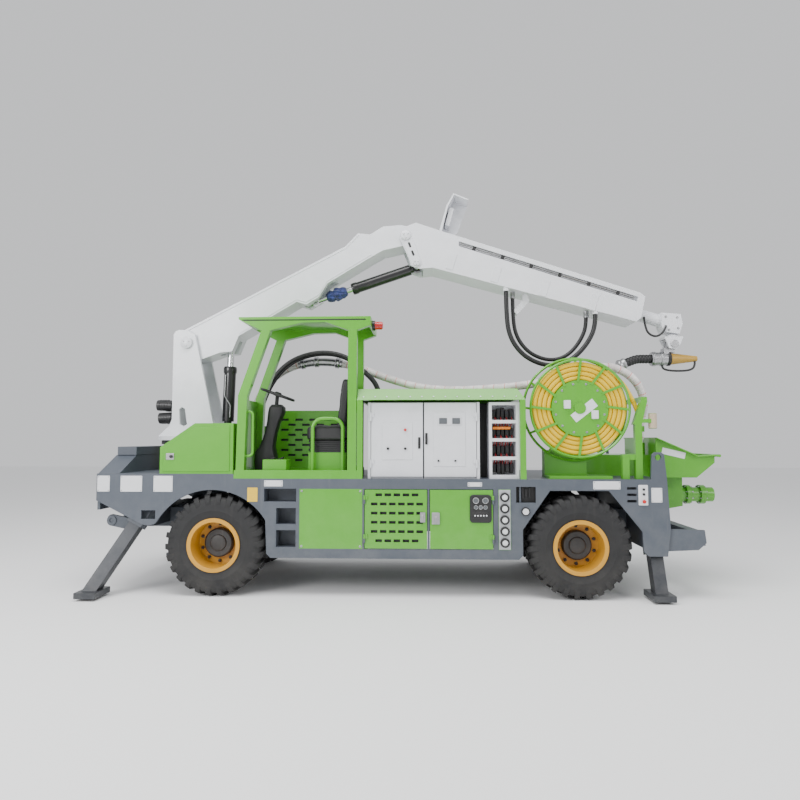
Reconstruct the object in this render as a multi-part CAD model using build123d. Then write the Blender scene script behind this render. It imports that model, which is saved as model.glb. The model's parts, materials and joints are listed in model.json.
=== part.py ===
from build123d import *
import math
import os

os.makedirs("parts", exist_ok=True)

# Shotcrete rig. X runs from the nose to the hopper, Y to the machine's right side, Z up from the ground.
# The machine faces -X. Millimetres.
FRONT_AXLE_X = -2148.7
WHEELBASE = 3854.0
TYRE_R = 537.5
TYRE_WIDTH = 405.0
TRACK_HALF = 873.0
RIM_R = 254.0
RIM_FLANGE_R = 285.0
HUB_CAP_R = 155.0
KINGPIN_Y = 690.0
SIDE_Y = 1030.0
WALL = 30.0
DECK_Z = 1240.0
FRONT_DECK_Z = 1290.0
DECK_T = 25.0
SKIRT_LOW_Z = 405.0
RAIL_Y0 = 250.0
RAIL_Y1 = 350.0
RAIL_Z0 = 640.0
RAIL_Z1 = 860.0
NOSE_BACK = 1300.0
TAIL_BACK = 904.0
PANEL_LOW_Z = 506.0
PANEL_TOP_Z = 1133.0
PANEL_START = 911.0
PANEL_END = 873.0
GAP = 6.0
PIN_GAP = 0.5
LUG_HOLE_R = 32.0
HINGE_R = 11.0
HINGE_PIN_R = 6.0
HINGE_H = 45.0
HINGE_LEAF = 17.0
CAB_IN_Y = 240.0
CAB_FRONT = 196.0
CAB_LENGTH = 1371.0
SILL_T = 90.0
POST = 90.0
BEND_Z = 2130.0
CANOPY_LOW_Z = 2840.0
CANOPY_TOP_Z = 2985.0
BAY_CLEAR = 10.0
BAY_EAVE_Z = 2078.0
BAY_TOP_Z = 2203.0
BAY_POST = 60.0
REEL_BACK = 41.0
REEL_Z = 1990.0
REEL_R = 535.0
REEL_HUB_R = 300.0
REEL_OUT_Y = 950.0
REEL_WIDTH = 250.0
CABLE_R = 24.0
HOSE_R = 48.0
ARM_HOSE_R = 28.0
FAR_RING_R = 575.0
LUG_COUNT = 26
LUG_DEEP = 30.0
LUG_SHARE = 0.45
TURRET_BACK = 600.0
TURRET_R = 440.0
TURRET_LOW_Z = 1648.0
BOOM_PIN_Z = 2830.0
BOOM_PIN_BACK = 50.0
BOOM_HALF = 180.0
TURRET_IN_Y = 190.0
TURRET_PLATE = 40.0
ELBOW_X = 2666.0
ELBOW_Z = 1298.0
ARM_HALF = 216.0
TUBE_R = 75.0
ARM_DEG = 17.0
LEG_SIZE = 130.0
LEG_WALL = 16.0

FRONT = FRONT_AXLE_X
REAR = FRONT_AXLE_X + WHEELBASE
AXLE_Z = TYRE_R
IN_Y = SIDE_Y - WALL
CAB_X0 = FRONT + CAB_FRONT
CAB_X1 = CAB_X0 + CAB_LENGTH
BAY_X0 = CAB_X1 - 47.0
REEL_X = REAR + REEL_BACK
BAY_X1 = REEL_X - FAR_RING_R - BAY_CLEAR
TURRET_X = FRONT - TURRET_BACK
BOOM_PIN = (TURRET_X - BOOM_PIN_BACK, BOOM_PIN_Z)
ELBOW = (BOOM_PIN[0] + ELBOW_X, BOOM_PIN[1] + ELBOW_Z)
PANEL_X0 = FRONT + PANEL_START
PANEL_W = (WHEELBASE - PANEL_START - PANEL_END) / 3


def box(x0, x1, y0, y1, z0, z1):
    return Solid.make_box(x1 - x0, y1 - y0, z1 - z0, Plane((x0, y0, z0)))


def side(points, y0, y1):
    """A plate from an outline in X and Z, between two planes across the machine."""
    wire = Polyline(*[(x, y0, z) for x, z in points], close=True)
    return extrude(make_face(wire), amount=y1 - y0, dir=(0, 1, 0)).solid()


def across(points, x0, x1):
    """A plate from an outline in Y and Z, between two planes along the machine."""
    wire = Polyline(*[(x0, y, z) for y, z in points], close=True)
    return extrude(make_face(wire), amount=x1 - x0, dir=(1, 0, 0)).solid()


def rod(p, q, r):
    start, end = Vector(*p), Vector(*q)
    return Solid.make_cylinder(r, (end - start).length, Plane(start, z_dir=end - start))


def cross_pin(x, z, r, y0, y1):
    return rod((x, y0, z), (x, y1, z), r)


def right(shape):
    """The same piece on the machine's right side."""
    return mirror(shape, about=Plane.XZ)


def moved(points, origin):
    return [(origin[0] + x, origin[1] + z) for x, z in points]


def ring_of(profile, x, z):
    """A body turned about an axle across the machine, from (radius, Y) points."""
    wire = Polyline(*[(x + r, y, z) for r, y in profile], close=True)
    return revolve(make_face(wire), axis=Axis((x, 0, z), (0, 1, 0))).solid()


def swept(path, radius):
    return sweep(Plane(path @ 0, z_dir=path % 0) * Circle(radius), path=path).solid()


def rail(points, radius, bend):
    """A bent tube with the same radius at each corner."""
    return swept(FilletPolyline(*points, radius=bend), radius)


def hose(name, points, radius):
    """A hose of straight runs with an arc at each corner, as wide as the shorter run beside it allows."""
    radii = []
    for a, b, c in zip(points, points[1:], points[2:]):
        before, after = Vector(*b) - Vector(*a), Vector(*c) - Vector(*b)
        turn = math.radians(before.get_angle(after))
        radii.append(0.45 * min(before.length, after.length) / math.tan(turn / 2))
    print(name, [round(r) for r in radii])
    return swept(FilletPolyline(*points, radius=radii), radius)


def hinge(x, face_y, z, way):
    """Two halves of a lift-off hinge on a face to the left: one on the frame with the pin, one on the door."""
    y = face_y - HINGE_R
    low, mid, high = z - HINGE_H, z, z + HINGE_H
    frame_leaf = sorted((x - way * HINGE_LEAF, x))
    door_leaf = sorted((x, x + way * 2 * HINGE_LEAF))
    fixed = rod((x, y, low), (x, y, mid), HINGE_R)
    fixed += rod((x, y, low), (x, y, high), HINGE_PIN_R)
    fixed += box(*frame_leaf, y, face_y, low, mid)
    door = rod((x, y, mid + PIN_GAP), (x, y, high), HINGE_R)
    door += box(*door_leaf, y, face_y, mid + PIN_GAP, high)
    door -= rod((x, y, low), (x, y, high + 1), HINGE_PIN_R + PIN_GAP)
    return fixed, door


def save(node, *shapes):
    solids = [s for shape in shapes for s in shape.solids()]
    export_step(solids[0] if len(solids) == 1 else Compound(solids), f"parts/{node}.step")


# Deck plates, stepped up under the turret
front_deck = box(FRONT - NOSE_BACK, CAB_X0, -IN_Y, IN_Y, FRONT_DECK_Z - DECK_T, FRONT_DECK_Z)
rear_deck = box(CAB_X0, REAR + TAIL_BACK, -IN_Y, IN_Y, DECK_Z - DECK_T, DECK_Z)
HOSE_FOOT = (FRONT + 18.0, 300.0)
HOSE_FOOT_Z = FRONT_DECK_Z + 250.0
hose_stub = rod((*HOSE_FOOT, FRONT_DECK_Z), (*HOSE_FOOT, HOSE_FOOT_Z), HOSE_R + 6)
hose_stub += rod((*HOSE_FOOT, FRONT_DECK_Z), (*HOSE_FOOT, FRONT_DECK_Z + 20), HOSE_R + 50)
hose_stub += rod((*HOSE_FOOT, HOSE_FOOT_Z - 60), (*HOSE_FOOT, HOSE_FOOT_Z), HOSE_R + 22)
save("deck", front_deck + rear_deck + hose_stub)

# Side skirts with a round front arch and a straight-cut rear arch
LUG_X = REAR + 818.0
LUG_Z = 1470.0
ARCH_TOP = 1118.0
skirt_front = [
    (FRONT + 545.0, 800.0),
    (FRONT + 560.0, 450.0),
    (FRONT + 605.0, SKIRT_LOW_Z),
    (REAR - 633.0, SKIRT_LOW_Z),
    (REAR - 588.0, 450.0),
    (REAR - 588.0, 716.0),
    (REAR - 302.0, 1121.0),
    (REAR + 307.0, 1121.0),
    (REAR + 641.0, 704.0),
    (REAR + 652.0, 500.0),
    (REAR + 701.0, 450.0),
    (REAR + 894.0, 450.0),
    (REAR + 931.0, 727.0),
    (REAR + TAIL_BACK, DECK_Z),
    (REAR + 880.0, 1500.0),
    (REAR + 850.0, 1525.0),
    (REAR + 786.0, 1525.0),
    (REAR + 756.0, 1500.0),
    (REAR + 740.0, DECK_Z),
    (CAB_X0, DECK_Z),
    (CAB_X0, FRONT_DECK_Z),
    (FRONT - NOSE_BACK, FRONT_DECK_Z),
    (FRONT - NOSE_BACK, 1003.0),
    (FRONT - 798.0, 750.0),
    (FRONT - 724.0, 735.0),
    (FRONT - 650.0, 755.0),
    (FRONT - 624.0, 790.0),
]
arch_wire = ThreePointArc(
    (FRONT - 624.0, -SIDE_Y, 790.0), (FRONT - 40.0, -SIDE_Y, ARCH_TOP), (FRONT + 545.0, -SIDE_Y, 800.0)
)
skirt_wire = Polyline(*[(x, -SIDE_Y, z) for x, z in skirt_front])
skirt = extrude(make_face([*skirt_wire.edges(), *arch_wire.edges()]), amount=WALL, dir=(0, 1, 0)).solid()
skirt -= cross_pin(LUG_X, LUG_Z, LUG_HOLE_R, -SIDE_Y - 1, -IN_Y + 1)
STEPS = [
    # front, back, low, high
    (530.0, 874.0, 997.0, 1134.0),
    (662.0, 872.0, 760.0, 929.0),
    (662.0, 872.0, 519.0, 697.0),
]
STEP_DEEP = 170.0
STEP_WALL = 8.0
for x0, x1, low, high in STEPS:
    hole = box(FRONT + x0, FRONT + x1, -SIDE_Y - 1, -IN_Y + STEP_DEEP, low, high)
    shell = box(
        FRONT + x0 - STEP_WALL, FRONT + x1 + STEP_WALL, -IN_Y, -IN_Y + STEP_DEEP + STEP_WALL,
        low - STEP_WALL, high + STEP_WALL,
    )
    skirt -= hole
    skirt += shell - hole
SKIRT_CUTS = [
    # front, back, low, high: window in the nose, gauge recess, slots over the rear leg
    (FRONT - 802.0, FRONT - 648.0, 806.0, 898.0),
    (REAR - 655.0, REAR - 450.0, 996.0, 1161.0),
    (REAR + 492.0, REAR + 590.0, 1004.0, 1030.0),
    (REAR + 492.0, REAR + 590.0, 1070.0, 1096.0),
    (REAR + 492.0, REAR + 590.0, 1136.0, 1162.0),
]
for x0, x1, low, high in SKIRT_CUTS:
    skirt -= box(x0, x1, -SIDE_Y - 1, -IN_Y + 1, low, high)
for k in range(3):
    x0 = PANEL_X0 + k * PANEL_W
    skirt -= box(x0, x0 + PANEL_W - 20.0, -SIDE_Y - 1, -IN_Y + 1, PANEL_LOW_Z, PANEL_TOP_Z)
STRIP_X0 = PANEL_X0 + 3 * PANEL_W + 34.0
STRIP_W = 126.0
skirt -= box(STRIP_X0, STRIP_X0 + STRIP_W, -SIDE_Y - 1, -IN_Y + 1, PANEL_LOW_Z, PANEL_TOP_Z)
# Skirt panels: one fixed, two doors a side, and the strip with the five couplings
DOOR_W = PANEL_W - 20.0 - 2 * GAP
panels = []
for k in range(3):
    x0 = PANEL_X0 + k * PANEL_W
    panel = box(x0, x0 + PANEL_W - 20.0, -SIDE_Y, -IN_Y, PANEL_LOW_Z, PANEL_TOP_Z)
    panels += [panel, right(panel)] if k == 0 else [right(panel)]
VENT_X0 = PANEL_X0 + PANEL_W + GAP
vent_door = box(VENT_X0, VENT_X0 + DOOR_W, -SIDE_Y, -IN_Y, PANEL_LOW_Z + GAP, PANEL_TOP_Z - GAP)
SLOT_ROWS = 6
SLOT_EDGE = 66.0
SLOT_PITCH = (DOOR_W - SLOT_EDGE - 16.0) / 6
SLOT_L = 0.72 * SLOT_PITCH
SLOT_ROW = 96.0
for row in range(SLOT_ROWS):
    count = 5 if row in (0, SLOT_ROWS - 1) else 6
    for k in range(count):
        x = VENT_X0 + SLOT_EDGE + SLOT_PITCH * (k + (6 - count) / 2)
        z = PANEL_LOW_Z + 72.0 + SLOT_ROW * row
        vent_door -= box(x, x + SLOT_L, -SIDE_Y - 1, -IN_Y + 1, z, z + 30.0)
TOOL_X0 = PANEL_X0 + 2 * PANEL_W + GAP
tool_door = box(TOOL_X0, TOOL_X0 + DOOR_W, -SIDE_Y, -IN_Y, PANEL_LOW_Z + GAP, PANEL_TOP_Z - GAP)
HANDLE_OUT = 14.0
vent_door += box(VENT_X0 + DOOR_W - 70, VENT_X0 + DOOR_W - 20, -SIDE_Y - HANDLE_OUT, -SIDE_Y, 790.0, 890.0)
tool_door += box(TOOL_X0 + 20, TOOL_X0 + 100, -SIDE_Y - HANDLE_OUT, -SIDE_Y, 770.0, 890.0)
DIAL_W = 220.0
DIAL_BACK = 18.0
dial_x1 = TOOL_X0 + DOOR_W - DIAL_BACK
tool_door += box(dial_x1 - DIAL_W, dial_x1, -SIDE_Y - 10.0, -SIDE_Y, 790.0, 1075.0)
VENT_HINGE_X = VENT_X0 - GAP / 2
TOOL_HINGE_X = TOOL_X0 + DOOR_W + GAP / 2
plain_skirt = right(skirt)
for z in (PANEL_LOW_Z + 110.0, PANEL_TOP_Z - 110.0):
    on_skirt, on_door = hinge(VENT_HINGE_X, -SIDE_Y, z, 1)
    skirt += on_skirt
    vent_door += on_door
    on_skirt, on_door = hinge(TOOL_HINGE_X, -SIDE_Y, z, -1)
    skirt += on_skirt
    tool_door += on_door
save("skirts", skirt, plain_skirt)
save("vent_door_left", vent_door)
save("tool_door_left", tool_door)
strip = box(STRIP_X0, STRIP_X0 + STRIP_W, -SIDE_Y, -IN_Y, PANEL_LOW_Z, PANEL_TOP_Z)
COUPLINGS = 5
for k in range(COUPLINGS):
    z = PANEL_LOW_Z + 75.0 + 118.0 * k
    strip += cross_pin(STRIP_X0 + STRIP_W / 2, z, 45.0, -SIDE_Y - 22.0, -SIDE_Y)
save("skirt_panels", *panels, strip, right(strip))

# Nose: front plate, cowl and lamp box
COWL_DEEP = 235.0
COWL_TOP_Z = 1480.0
cowl = across(
    [(-IN_Y, FRONT_DECK_Z), (IN_Y, FRONT_DECK_Z), (600, COWL_TOP_Z), (-600, COWL_TOP_Z)],
    FRONT - NOSE_BACK, FRONT - NOSE_BACK + COWL_DEEP,
)
cowl += box(FRONT - NOSE_BACK + 20, FRONT - NOSE_BACK + COWL_DEEP + 5, -620, 620, COWL_TOP_Z, COWL_TOP_Z + 95.0)
save("nose_cowl", cowl)
lamps = []
for y in (-480.0, -250.0, 250.0, 480.0):
    z = COWL_TOP_Z + 48.0
    lamps.append(rod((FRONT - NOSE_BACK - 12, y, z), (FRONT - NOSE_BACK + 20, y, z), 40.0))

# Fender boxes beside the turret
FENDER_IN_Y = 500.0
fender = side(
    [
        (FRONT - 611.0, FRONT_DECK_Z), (CAB_X0 - 8.0, FRONT_DECK_Z), (CAB_X0 - 8.0, 1833.0),
        (FRONT - 233.0, 1833.0), (FRONT - 611.0, 1574.0),
    ],
    -SIDE_Y, -FENDER_IN_Y,
)
save("fender_boxes", fender, right(fender))

# Cab: floor, posts, canopy and low walls
floor = box(CAB_X0, BAY_X0, -SIDE_Y, -CAB_IN_Y, DECK_Z, DECK_Z + SILL_T)
floor -= box(CAB_X0 + POST, CAB_X1 - POST, -SIDE_Y + 60, -CAB_IN_Y - 60, DECK_Z + 30, DECK_Z + SILL_T + 1)
POST_LOW_Z = DECK_Z + SILL_T
front_post = [
    (CAB_X0 + 20, POST_LOW_Z), (CAB_X0 + 20 + POST, POST_LOW_Z), (CAB_X0 + 135, BEND_Z),
    (CAB_X0 + 380, CANOPY_LOW_Z), (CAB_X0 + 280, CANOPY_LOW_Z), (CAB_X0 + 35, BEND_Z),
]
rear_post = [
    (CAB_X1 - 55 - 95, POST_LOW_Z), (CAB_X1 - 55, POST_LOW_Z),
    (CAB_X1 - 50, CANOPY_LOW_Z), (CAB_X1 - 50 - 95, CANOPY_LOW_Z),
]
for outline in (front_post, rear_post):
    floor += side(outline, -SIDE_Y, -SIDE_Y + POST)
    floor += side(outline, -CAB_IN_Y - POST, -CAB_IN_Y)

ROOF_X0 = CAB_X0 + 30.0
ROOF_X1 = CAB_X0 + 1468.0
VALANCE = [
    (ROOF_X0, CANOPY_TOP_Z), (ROOF_X0, CANOPY_TOP_Z - 25), (ROOF_X0 + 240, CANOPY_LOW_Z),
    (ROOF_X0 + 355, CANOPY_LOW_Z), (ROOF_X0 + 690, 2920.0), (ROOF_X0 + 950, 2925.0),
    (ROOF_X0 + 1180, CANOPY_LOW_Z), (ROOF_X0 + 1300, CANOPY_LOW_Z),
    (ROOF_X1, CANOPY_LOW_Z + 50), (ROOF_X1, CANOPY_TOP_Z),
]
ROOF_T = 25.0
roof = box(ROOF_X0, ROOF_X1, -SIDE_Y, -CAB_IN_Y, CANOPY_TOP_Z - ROOF_T, CANOPY_TOP_Z)
roof += side(VALANCE, -SIDE_Y, -SIDE_Y + POST)
roof += side(VALANCE, -CAB_IN_Y - POST, -CAB_IN_Y)
roof += box(ROOF_X1 - ROOF_T, ROOF_X1, -SIDE_Y, -CAB_IN_Y, CANOPY_LOW_Z + 50, CANOPY_TOP_Z)
GROOVE = 8.0
roof -= box(
    ROOF_X0 + 40, ROOF_X1 - 60, -SIDE_Y - 1, -SIDE_Y + GROOVE, CANOPY_TOP_Z - 42, CANOPY_TOP_Z - 28
)
save("cab_roof", roof)
LOW_WALL_T = 25.0
inner_wall = box(CAB_X0 + 250, CAB_X1 - 150, -CAB_IN_Y - LOW_WALL_T, -CAB_IN_Y, POST_LOW_Z, 2000.0)
for row in range(9):
    for k in range(4):
        x = CAB_X0 + 330 + k * 170 + (row % 2) * 85
        inner_wall -= box(x, x + 90, -CAB_IN_Y - LOW_WALL_T - 1, -CAB_IN_Y + 1, 1400 + row * 60, 1425 + row * 60)
front_wall = box(CAB_X0 + 30, CAB_X0 + 55, -SIDE_Y + POST, -CAB_IN_Y - POST, POST_LOW_Z, 2100.0)
save("cab_walls", inner_wall, front_wall)

# Seat, steering column and wheel
SEAT_Y = -635.0
floor += box(CAB_X1 - 600, CAB_X1 - 190, SEAT_Y - 210, SEAT_Y + 210, DECK_Z + 30, 1515.0)
GRAB_Y = -SIDE_Y + POST / 2
floor += rail(
    [(CAB_X0 + 80, GRAB_Y, 1960), (CAB_X0 + 190, GRAB_Y, 1960), (CAB_X0 + 190, GRAB_Y, 1480),
     (CAB_X0 + 80, GRAB_Y, 1480)],
    14.0, 45.0,
)
GUARD_X0 = CAB_X1 - 545.0
GUARD_X1 = CAB_X1 - 215.0
GUARD_Y = -SIDE_Y + 130.0
floor += rail(
    [(GUARD_X0, GUARD_Y, DECK_Z + 25), (GUARD_X0, GUARD_Y, 1885), (GUARD_X1, GUARD_Y, 1885),
     (GUARD_X1, GUARD_Y, DECK_Z + 25)],
    20.0, 110.0,
)
save("cab_frame", floor)
seat = box(CAB_X1 - 620, CAB_X1 - 160, SEAT_Y - 235, SEAT_Y + 235, 1515.0, 1690.0)
seat += side(
    [(CAB_X1 - 270, 1690.0), (CAB_X1 - 160, 1690.0), (CAB_X1 - 160, 2320.0), (CAB_X1 - 230, 2320.0)],
    SEAT_Y - 220, SEAT_Y + 220,
)
save("seat", seat)
WHEEL_HUB = (CAB_X0 + 375.0, 2165.0)
WHEEL_TILT = 20.0
column = side(
    [
        (CAB_X0 + 240, DECK_Z + 30), (CAB_X0 + 480, DECK_Z + 30), (CAB_X0 + 450, 1400.0),
        (CAB_X0 + 470, 2050.0), (CAB_X0 + 330, 2090.0), (CAB_X0 + 300, 1420.0),
    ],
    SEAT_Y - 90, SEAT_Y + 90,
)
WHEEL_AXIS = (math.sin(math.radians(WHEEL_TILT)), 0.0, math.cos(math.radians(WHEEL_TILT)))
hub_plane = Plane((WHEEL_HUB[0], SEAT_Y, WHEEL_HUB[1]), x_dir=(0, 1, 0), z_dir=WHEEL_AXIS)
WHEEL_R = 190.0
SHAFT_R = 18.0
hub_at = Vector(WHEEL_HUB[0], SEAT_Y, WHEEL_HUB[1])
shaft_way = Vector(*WHEEL_AXIS)
column += rod(hub_at - shaft_way * 140, hub_at + shaft_way * 15, SHAFT_R)
save("steering_column", column)
grip = Polyline((WHEEL_R - 14, 0, 0), (WHEEL_R, 0, -14), (WHEEL_R + 14, 0, 0), (WHEEL_R, 0, 14), close=True)
wheel_rim = hub_plane * revolve(make_face(grip), axis=Axis.Z)
wheel_rim += hub_plane * Cylinder(45.0, 40.0)
for k in range(3):
    spoke = hub_plane * (Rot(0, 0, 120.0 * k) * Pos(WHEEL_R / 2, 0, 0) * Box(WHEEL_R, 26.0, 12.0))
    wheel_rim += spoke
wheel_rim -= rod(hub_at - shaft_way * 140, hub_at + shaft_way * 16, SHAFT_R + PIN_GAP)
save("steering_wheel", wheel_rim)

# Beacon behind the canopy
beacon_z = CANOPY_LOW_Z + 20.0
beacon = rod((ROOF_X1, -800, beacon_z + 60), (ROOF_X1 + 30, -800, beacon_z + 60), 55.0)
beacon += rod((ROOF_X1 + 30, -800, beacon_z + 60), (ROOF_X1 + 110, -800, beacon_z + 60), 42.0)
lamps.append(beacon)
save("lamps", *lamps)

# Machine bay: posts, roof, cabinets, valve rack and the engine behind
bay = Solid.make_loft(
    [
        Wire.make_polygon([(BAY_X0, -SIDE_Y, BAY_EAVE_Z), (BAY_X1, -SIDE_Y, BAY_EAVE_Z),
                           (BAY_X1, SIDE_Y, BAY_EAVE_Z), (BAY_X0, SIDE_Y, BAY_EAVE_Z)]),
        Wire.make_polygon([(BAY_X0, -SIDE_Y + 90, BAY_TOP_Z), (BAY_X1 - 75, -SIDE_Y + 90, BAY_TOP_Z),
                           (BAY_X1 - 75, SIDE_Y - 90, BAY_TOP_Z), (BAY_X0, SIDE_Y - 90, BAY_TOP_Z)]),
    ],
    True,
)
bay -= box(BAY_X0 + 25, BAY_X1 - 100, -SIDE_Y + 110, SIDE_Y - 110, BAY_EAVE_Z - 1, BAY_TOP_Z - 25)
for x in (BAY_X0, BAY_X1 - BAY_POST):
    post = box(x, x + BAY_POST, -SIDE_Y, -SIDE_Y + BAY_POST, DECK_Z, BAY_EAVE_Z)
    bay += post
    bay += right(post)
CABINET_Y = 960.0
CABINET_DEEP = 420.0
DOOR_T = 22.0
CABINET_X0 = BAY_X0 + 111.0
RACK_W = 315.0
RACK_X1 = BAY_X1 - BAY_POST - 5.0
RACK_X0 = RACK_X1 - RACK_W
RACK_CLEAR = 101.0
CABINET_GAP = 10.0
CABINET_W = (RACK_X0 - RACK_CLEAR - CABINET_X0 - CABINET_GAP) / 2
CABINET_TOP_Z = BAY_EAVE_Z - 22.0
CABINET_STRIP = 30.0
CABINET_HINGES = []
cabinet_bodies = []
for k in range(2):
    x0 = CABINET_X0 + k * (CABINET_W + CABINET_GAP)
    body = box(x0, x0 + CABINET_W, -CABINET_Y + DOOR_T + 4, -CABINET_Y + CABINET_DEEP, DECK_Z, CABINET_TOP_Z)
    body -= box(x0 + 20, x0 + CABINET_W - 20, -CABINET_Y, -CABINET_Y + CABINET_DEEP - 20, DECK_Z + 20, CABINET_TOP_Z - 20)
    way = 1 if k == 0 else -1
    edge = x0 if k == 0 else x0 + CABINET_W
    body += box(*sorted((edge, edge + way * CABINET_STRIP)), -CABINET_Y, -CABINET_Y + DOOR_T + 4, DECK_Z, CABINET_TOP_Z)
    door_edges = sorted((edge + way * (CABINET_STRIP + GAP), edge + way * (CABINET_W - 4)))
    door = box(*door_edges, -CABINET_Y, -CABINET_Y + DOOR_T, DECK_Z + 20, CABINET_TOP_Z - 6)
    CABINET_HINGES.append(edge + way * (CABINET_STRIP + GAP / 2))
    for z in (DECK_Z + 160.0, CABINET_TOP_Z - 156.0):
        on_body, on_door = hinge(CABINET_HINGES[-1], -CABINET_Y, z, way)
        body += on_body
        door += on_door
    cabinet_bodies.append(body)
    save(f"cabinet_door_{'front' if k == 0 else 'back'}", door)
rack = box(RACK_X0, RACK_X1, -CABINET_Y, -CABINET_Y + 300, DECK_Z, CABINET_TOP_Z)
for k in range(4):
    z = DECK_Z + 40 + 195 * k
    rack -= box(RACK_X0 + 30, RACK_X1 - 30, -CABINET_Y - 1, -CABINET_Y + 200, z, z + 160)
save("cabinets", *cabinet_bodies, rack)
radiator = box(BAY_X0 + BAY_POST, BAY_X1 - BAY_POST, SIDE_Y - 60, SIDE_Y - 20, DECK_Z, BAY_EAVE_Z)
for k in range(12):
    z = DECK_Z + 60 + 62 * k
    radiator -= box(BAY_X0 + 160, BAY_X1 - 160, SIDE_Y - 61, SIDE_Y - 19, z, z + 36)
save("bay_frame", bay + radiator)
engine = box(BAY_X0 + 300, BAY_X1 - 300, -220.0, 760.0, DECK_Z, BAY_EAVE_Z - 128.0)
save("engine", engine)

# Axles and steering knuckles
def differential(x, r):
    """The bulged housing in the middle of an axle."""
    half = [(0.45 * r, r), (0.8 * r, 0.7 * r), (r, 0.25 * r)]
    return ring_of([(0, -r), *[(a, -y) for a, y in half], *[(a, y) for a, y in reversed(half)], (0, r)], x, AXLE_Z)


YOKE_Z = 130.0
YOKE_T = 30.0
KNUCKLE_HALF = 94.0
KINGPIN_R = 32.0
SPINDLE_R = 48.0
SPINDLE_END = 845.0
YOKE_IN_Y = 540.0
YOKE_WEB_Y = 585.0
YOKE_OUT_Y = 740.0
front_axle = box(FRONT - 65, FRONT + 65, -YOKE_IN_Y - 10, YOKE_IN_Y + 10, AXLE_Z - 65, AXLE_Z + 65)
front_axle += differential(FRONT, 170.0)
for s in (-1, 1):
    y0, y1 = sorted((s * YOKE_IN_Y, s * YOKE_OUT_Y))
    for z0 in (AXLE_Z - YOKE_Z, AXLE_Z + YOKE_Z - YOKE_T):
        front_axle += box(FRONT - 75, FRONT + 75, y0, y1, z0, z0 + YOKE_T)
    y2, y3 = sorted((s * YOKE_IN_Y, s * YOKE_WEB_Y))
    front_axle += box(FRONT - 75, FRONT + 75, y2, y3, AXLE_Z - YOKE_Z, AXLE_Z + YOKE_Z)
    pad0, pad1 = sorted((s * RAIL_Y0, s * RAIL_Y1))
    front_axle += box(FRONT - 110, FRONT + 110, pad0, pad1, AXLE_Z + 30, RAIL_Z0)
    front_axle -= rod((FRONT, s * KINGPIN_Y, AXLE_Z - 200), (FRONT, s * KINGPIN_Y, AXLE_Z + 200), KINGPIN_R + PIN_GAP)
knuckle = box(FRONT - 70, FRONT + 70, -760, -625, AXLE_Z - KNUCKLE_HALF, AXLE_Z + KNUCKLE_HALF)
knuckle += rod(
    (FRONT, -KINGPIN_Y, AXLE_Z - YOKE_Z - 15), (FRONT, -KINGPIN_Y, AXLE_Z + YOKE_Z + 15), KINGPIN_R
)
knuckle += cross_pin(FRONT, AXLE_Z, SPINDLE_R, -SPINDLE_END, -700)
save("knuckle_left", knuckle)
save("knuckle_right", right(knuckle))
rear_axle = box(REAR - 70, REAR + 70, -700, 700, AXLE_Z - 70, AXLE_Z + 70)
rear_axle += differential(REAR, 185.0)
for s in (-1, 1):
    y0, y1 = sorted((s * 690.0, s * 770.0))
    rear_axle += cross_pin(REAR, AXLE_Z, 130.0, y0, y1)
    y2, y3 = sorted((s * 700.0, s * SPINDLE_END))
    rear_axle += cross_pin(REAR, AXLE_Z, SPINDLE_R, y2, y3)
    pad0, pad1 = sorted((s * RAIL_Y0, s * RAIL_Y1))
    rear_axle += box(REAR - 120, REAR + 120, pad0, pad1, AXLE_Z + 30, RAIL_Z0)
save("axles", front_axle, rear_axle)

# Wheels: tyre, and rim with hub
TYRE_IN = -TRACK_HALF + TYRE_WIDTH / 2
TYRE_OUT = -TRACK_HALF - TYRE_WIDTH / 2
RIM_IN = TYRE_IN - 15.0
RIM_OUT = TYRE_OUT + 15.0
DISC_Y = -800.0
TREAD_R = TYRE_R - LUG_DEEP
BEAD_IN = 15.0
WALL_R = TYRE_R - 105.0
WALL_SIDES = 14
BORE_SIDES = 8
TREAD_SECTIONS = [
    # distance in from the tyre's face, radius over the lugs, radius between them
    (TYRE_WIDTH / 2, TYRE_R, TREAD_R),
    (46.0, TYRE_R, TREAD_R),
    (0.0, TYRE_R - 38, TREAD_R - 34),
]


def around_axle(x, y, corners):
    """A closed outline round an axle from (radius, angle) corners, at one distance across the machine."""
    return Wire.make_polygon([(x + r * math.sin(t), y, AXLE_Z + r * math.cos(t)) for r, t in corners])


def tread_section(x, y, lug_r, root_r, phase):
    """The tread's outline at one plane: a flat lug and a flat gap in turn, with radial flanks between."""
    step = 2 * math.pi / LUG_COUNT
    lug = LUG_SHARE * step / 2
    gap = step / 2 - lug
    corners = []
    for k in range(LUG_COUNT):
        mid = (k + phase) * step
        corners += [(lug_r / math.cos(lug), mid - lug), (lug_r / math.cos(lug), mid + lug)]
        corners += [(root_r / math.cos(gap), mid + lug), (root_r / math.cos(gap), mid + lug + 2 * gap)]
    return around_axle(x, y, corners)


def flat_ring(x, y, radius, sides):
    """A ring with flat sides at the radius given."""
    step = 2 * math.pi / sides
    return around_axle(x, y, [(radius / math.cos(step / 2), (k + 0.5) * step) for k in range(sides)])


def half_tyre(x, face, way, phase):
    """One side of a tyre from its middle to its face, with the dished sidewall and the bore for the rim."""
    half = Solid.make_loft(
        [tread_section(x, face + way * inset, lug_r, root_r, phase) for inset, lug_r, root_r in TREAD_SECTIONS], True
    )
    half -= Solid.make_loft(
        [flat_ring(x, face, WALL_R, WALL_SIDES), flat_ring(x, face + way * BEAD_IN, RIM_FLANGE_R + 2, WALL_SIDES)], True
    )
    middle = face + way * TYRE_WIDTH / 2
    bore = [flat_ring(x, y, RIM_R, BORE_SIDES) for y in (face, middle)]
    return half - Solid.make_loft(bore, True)


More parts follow.
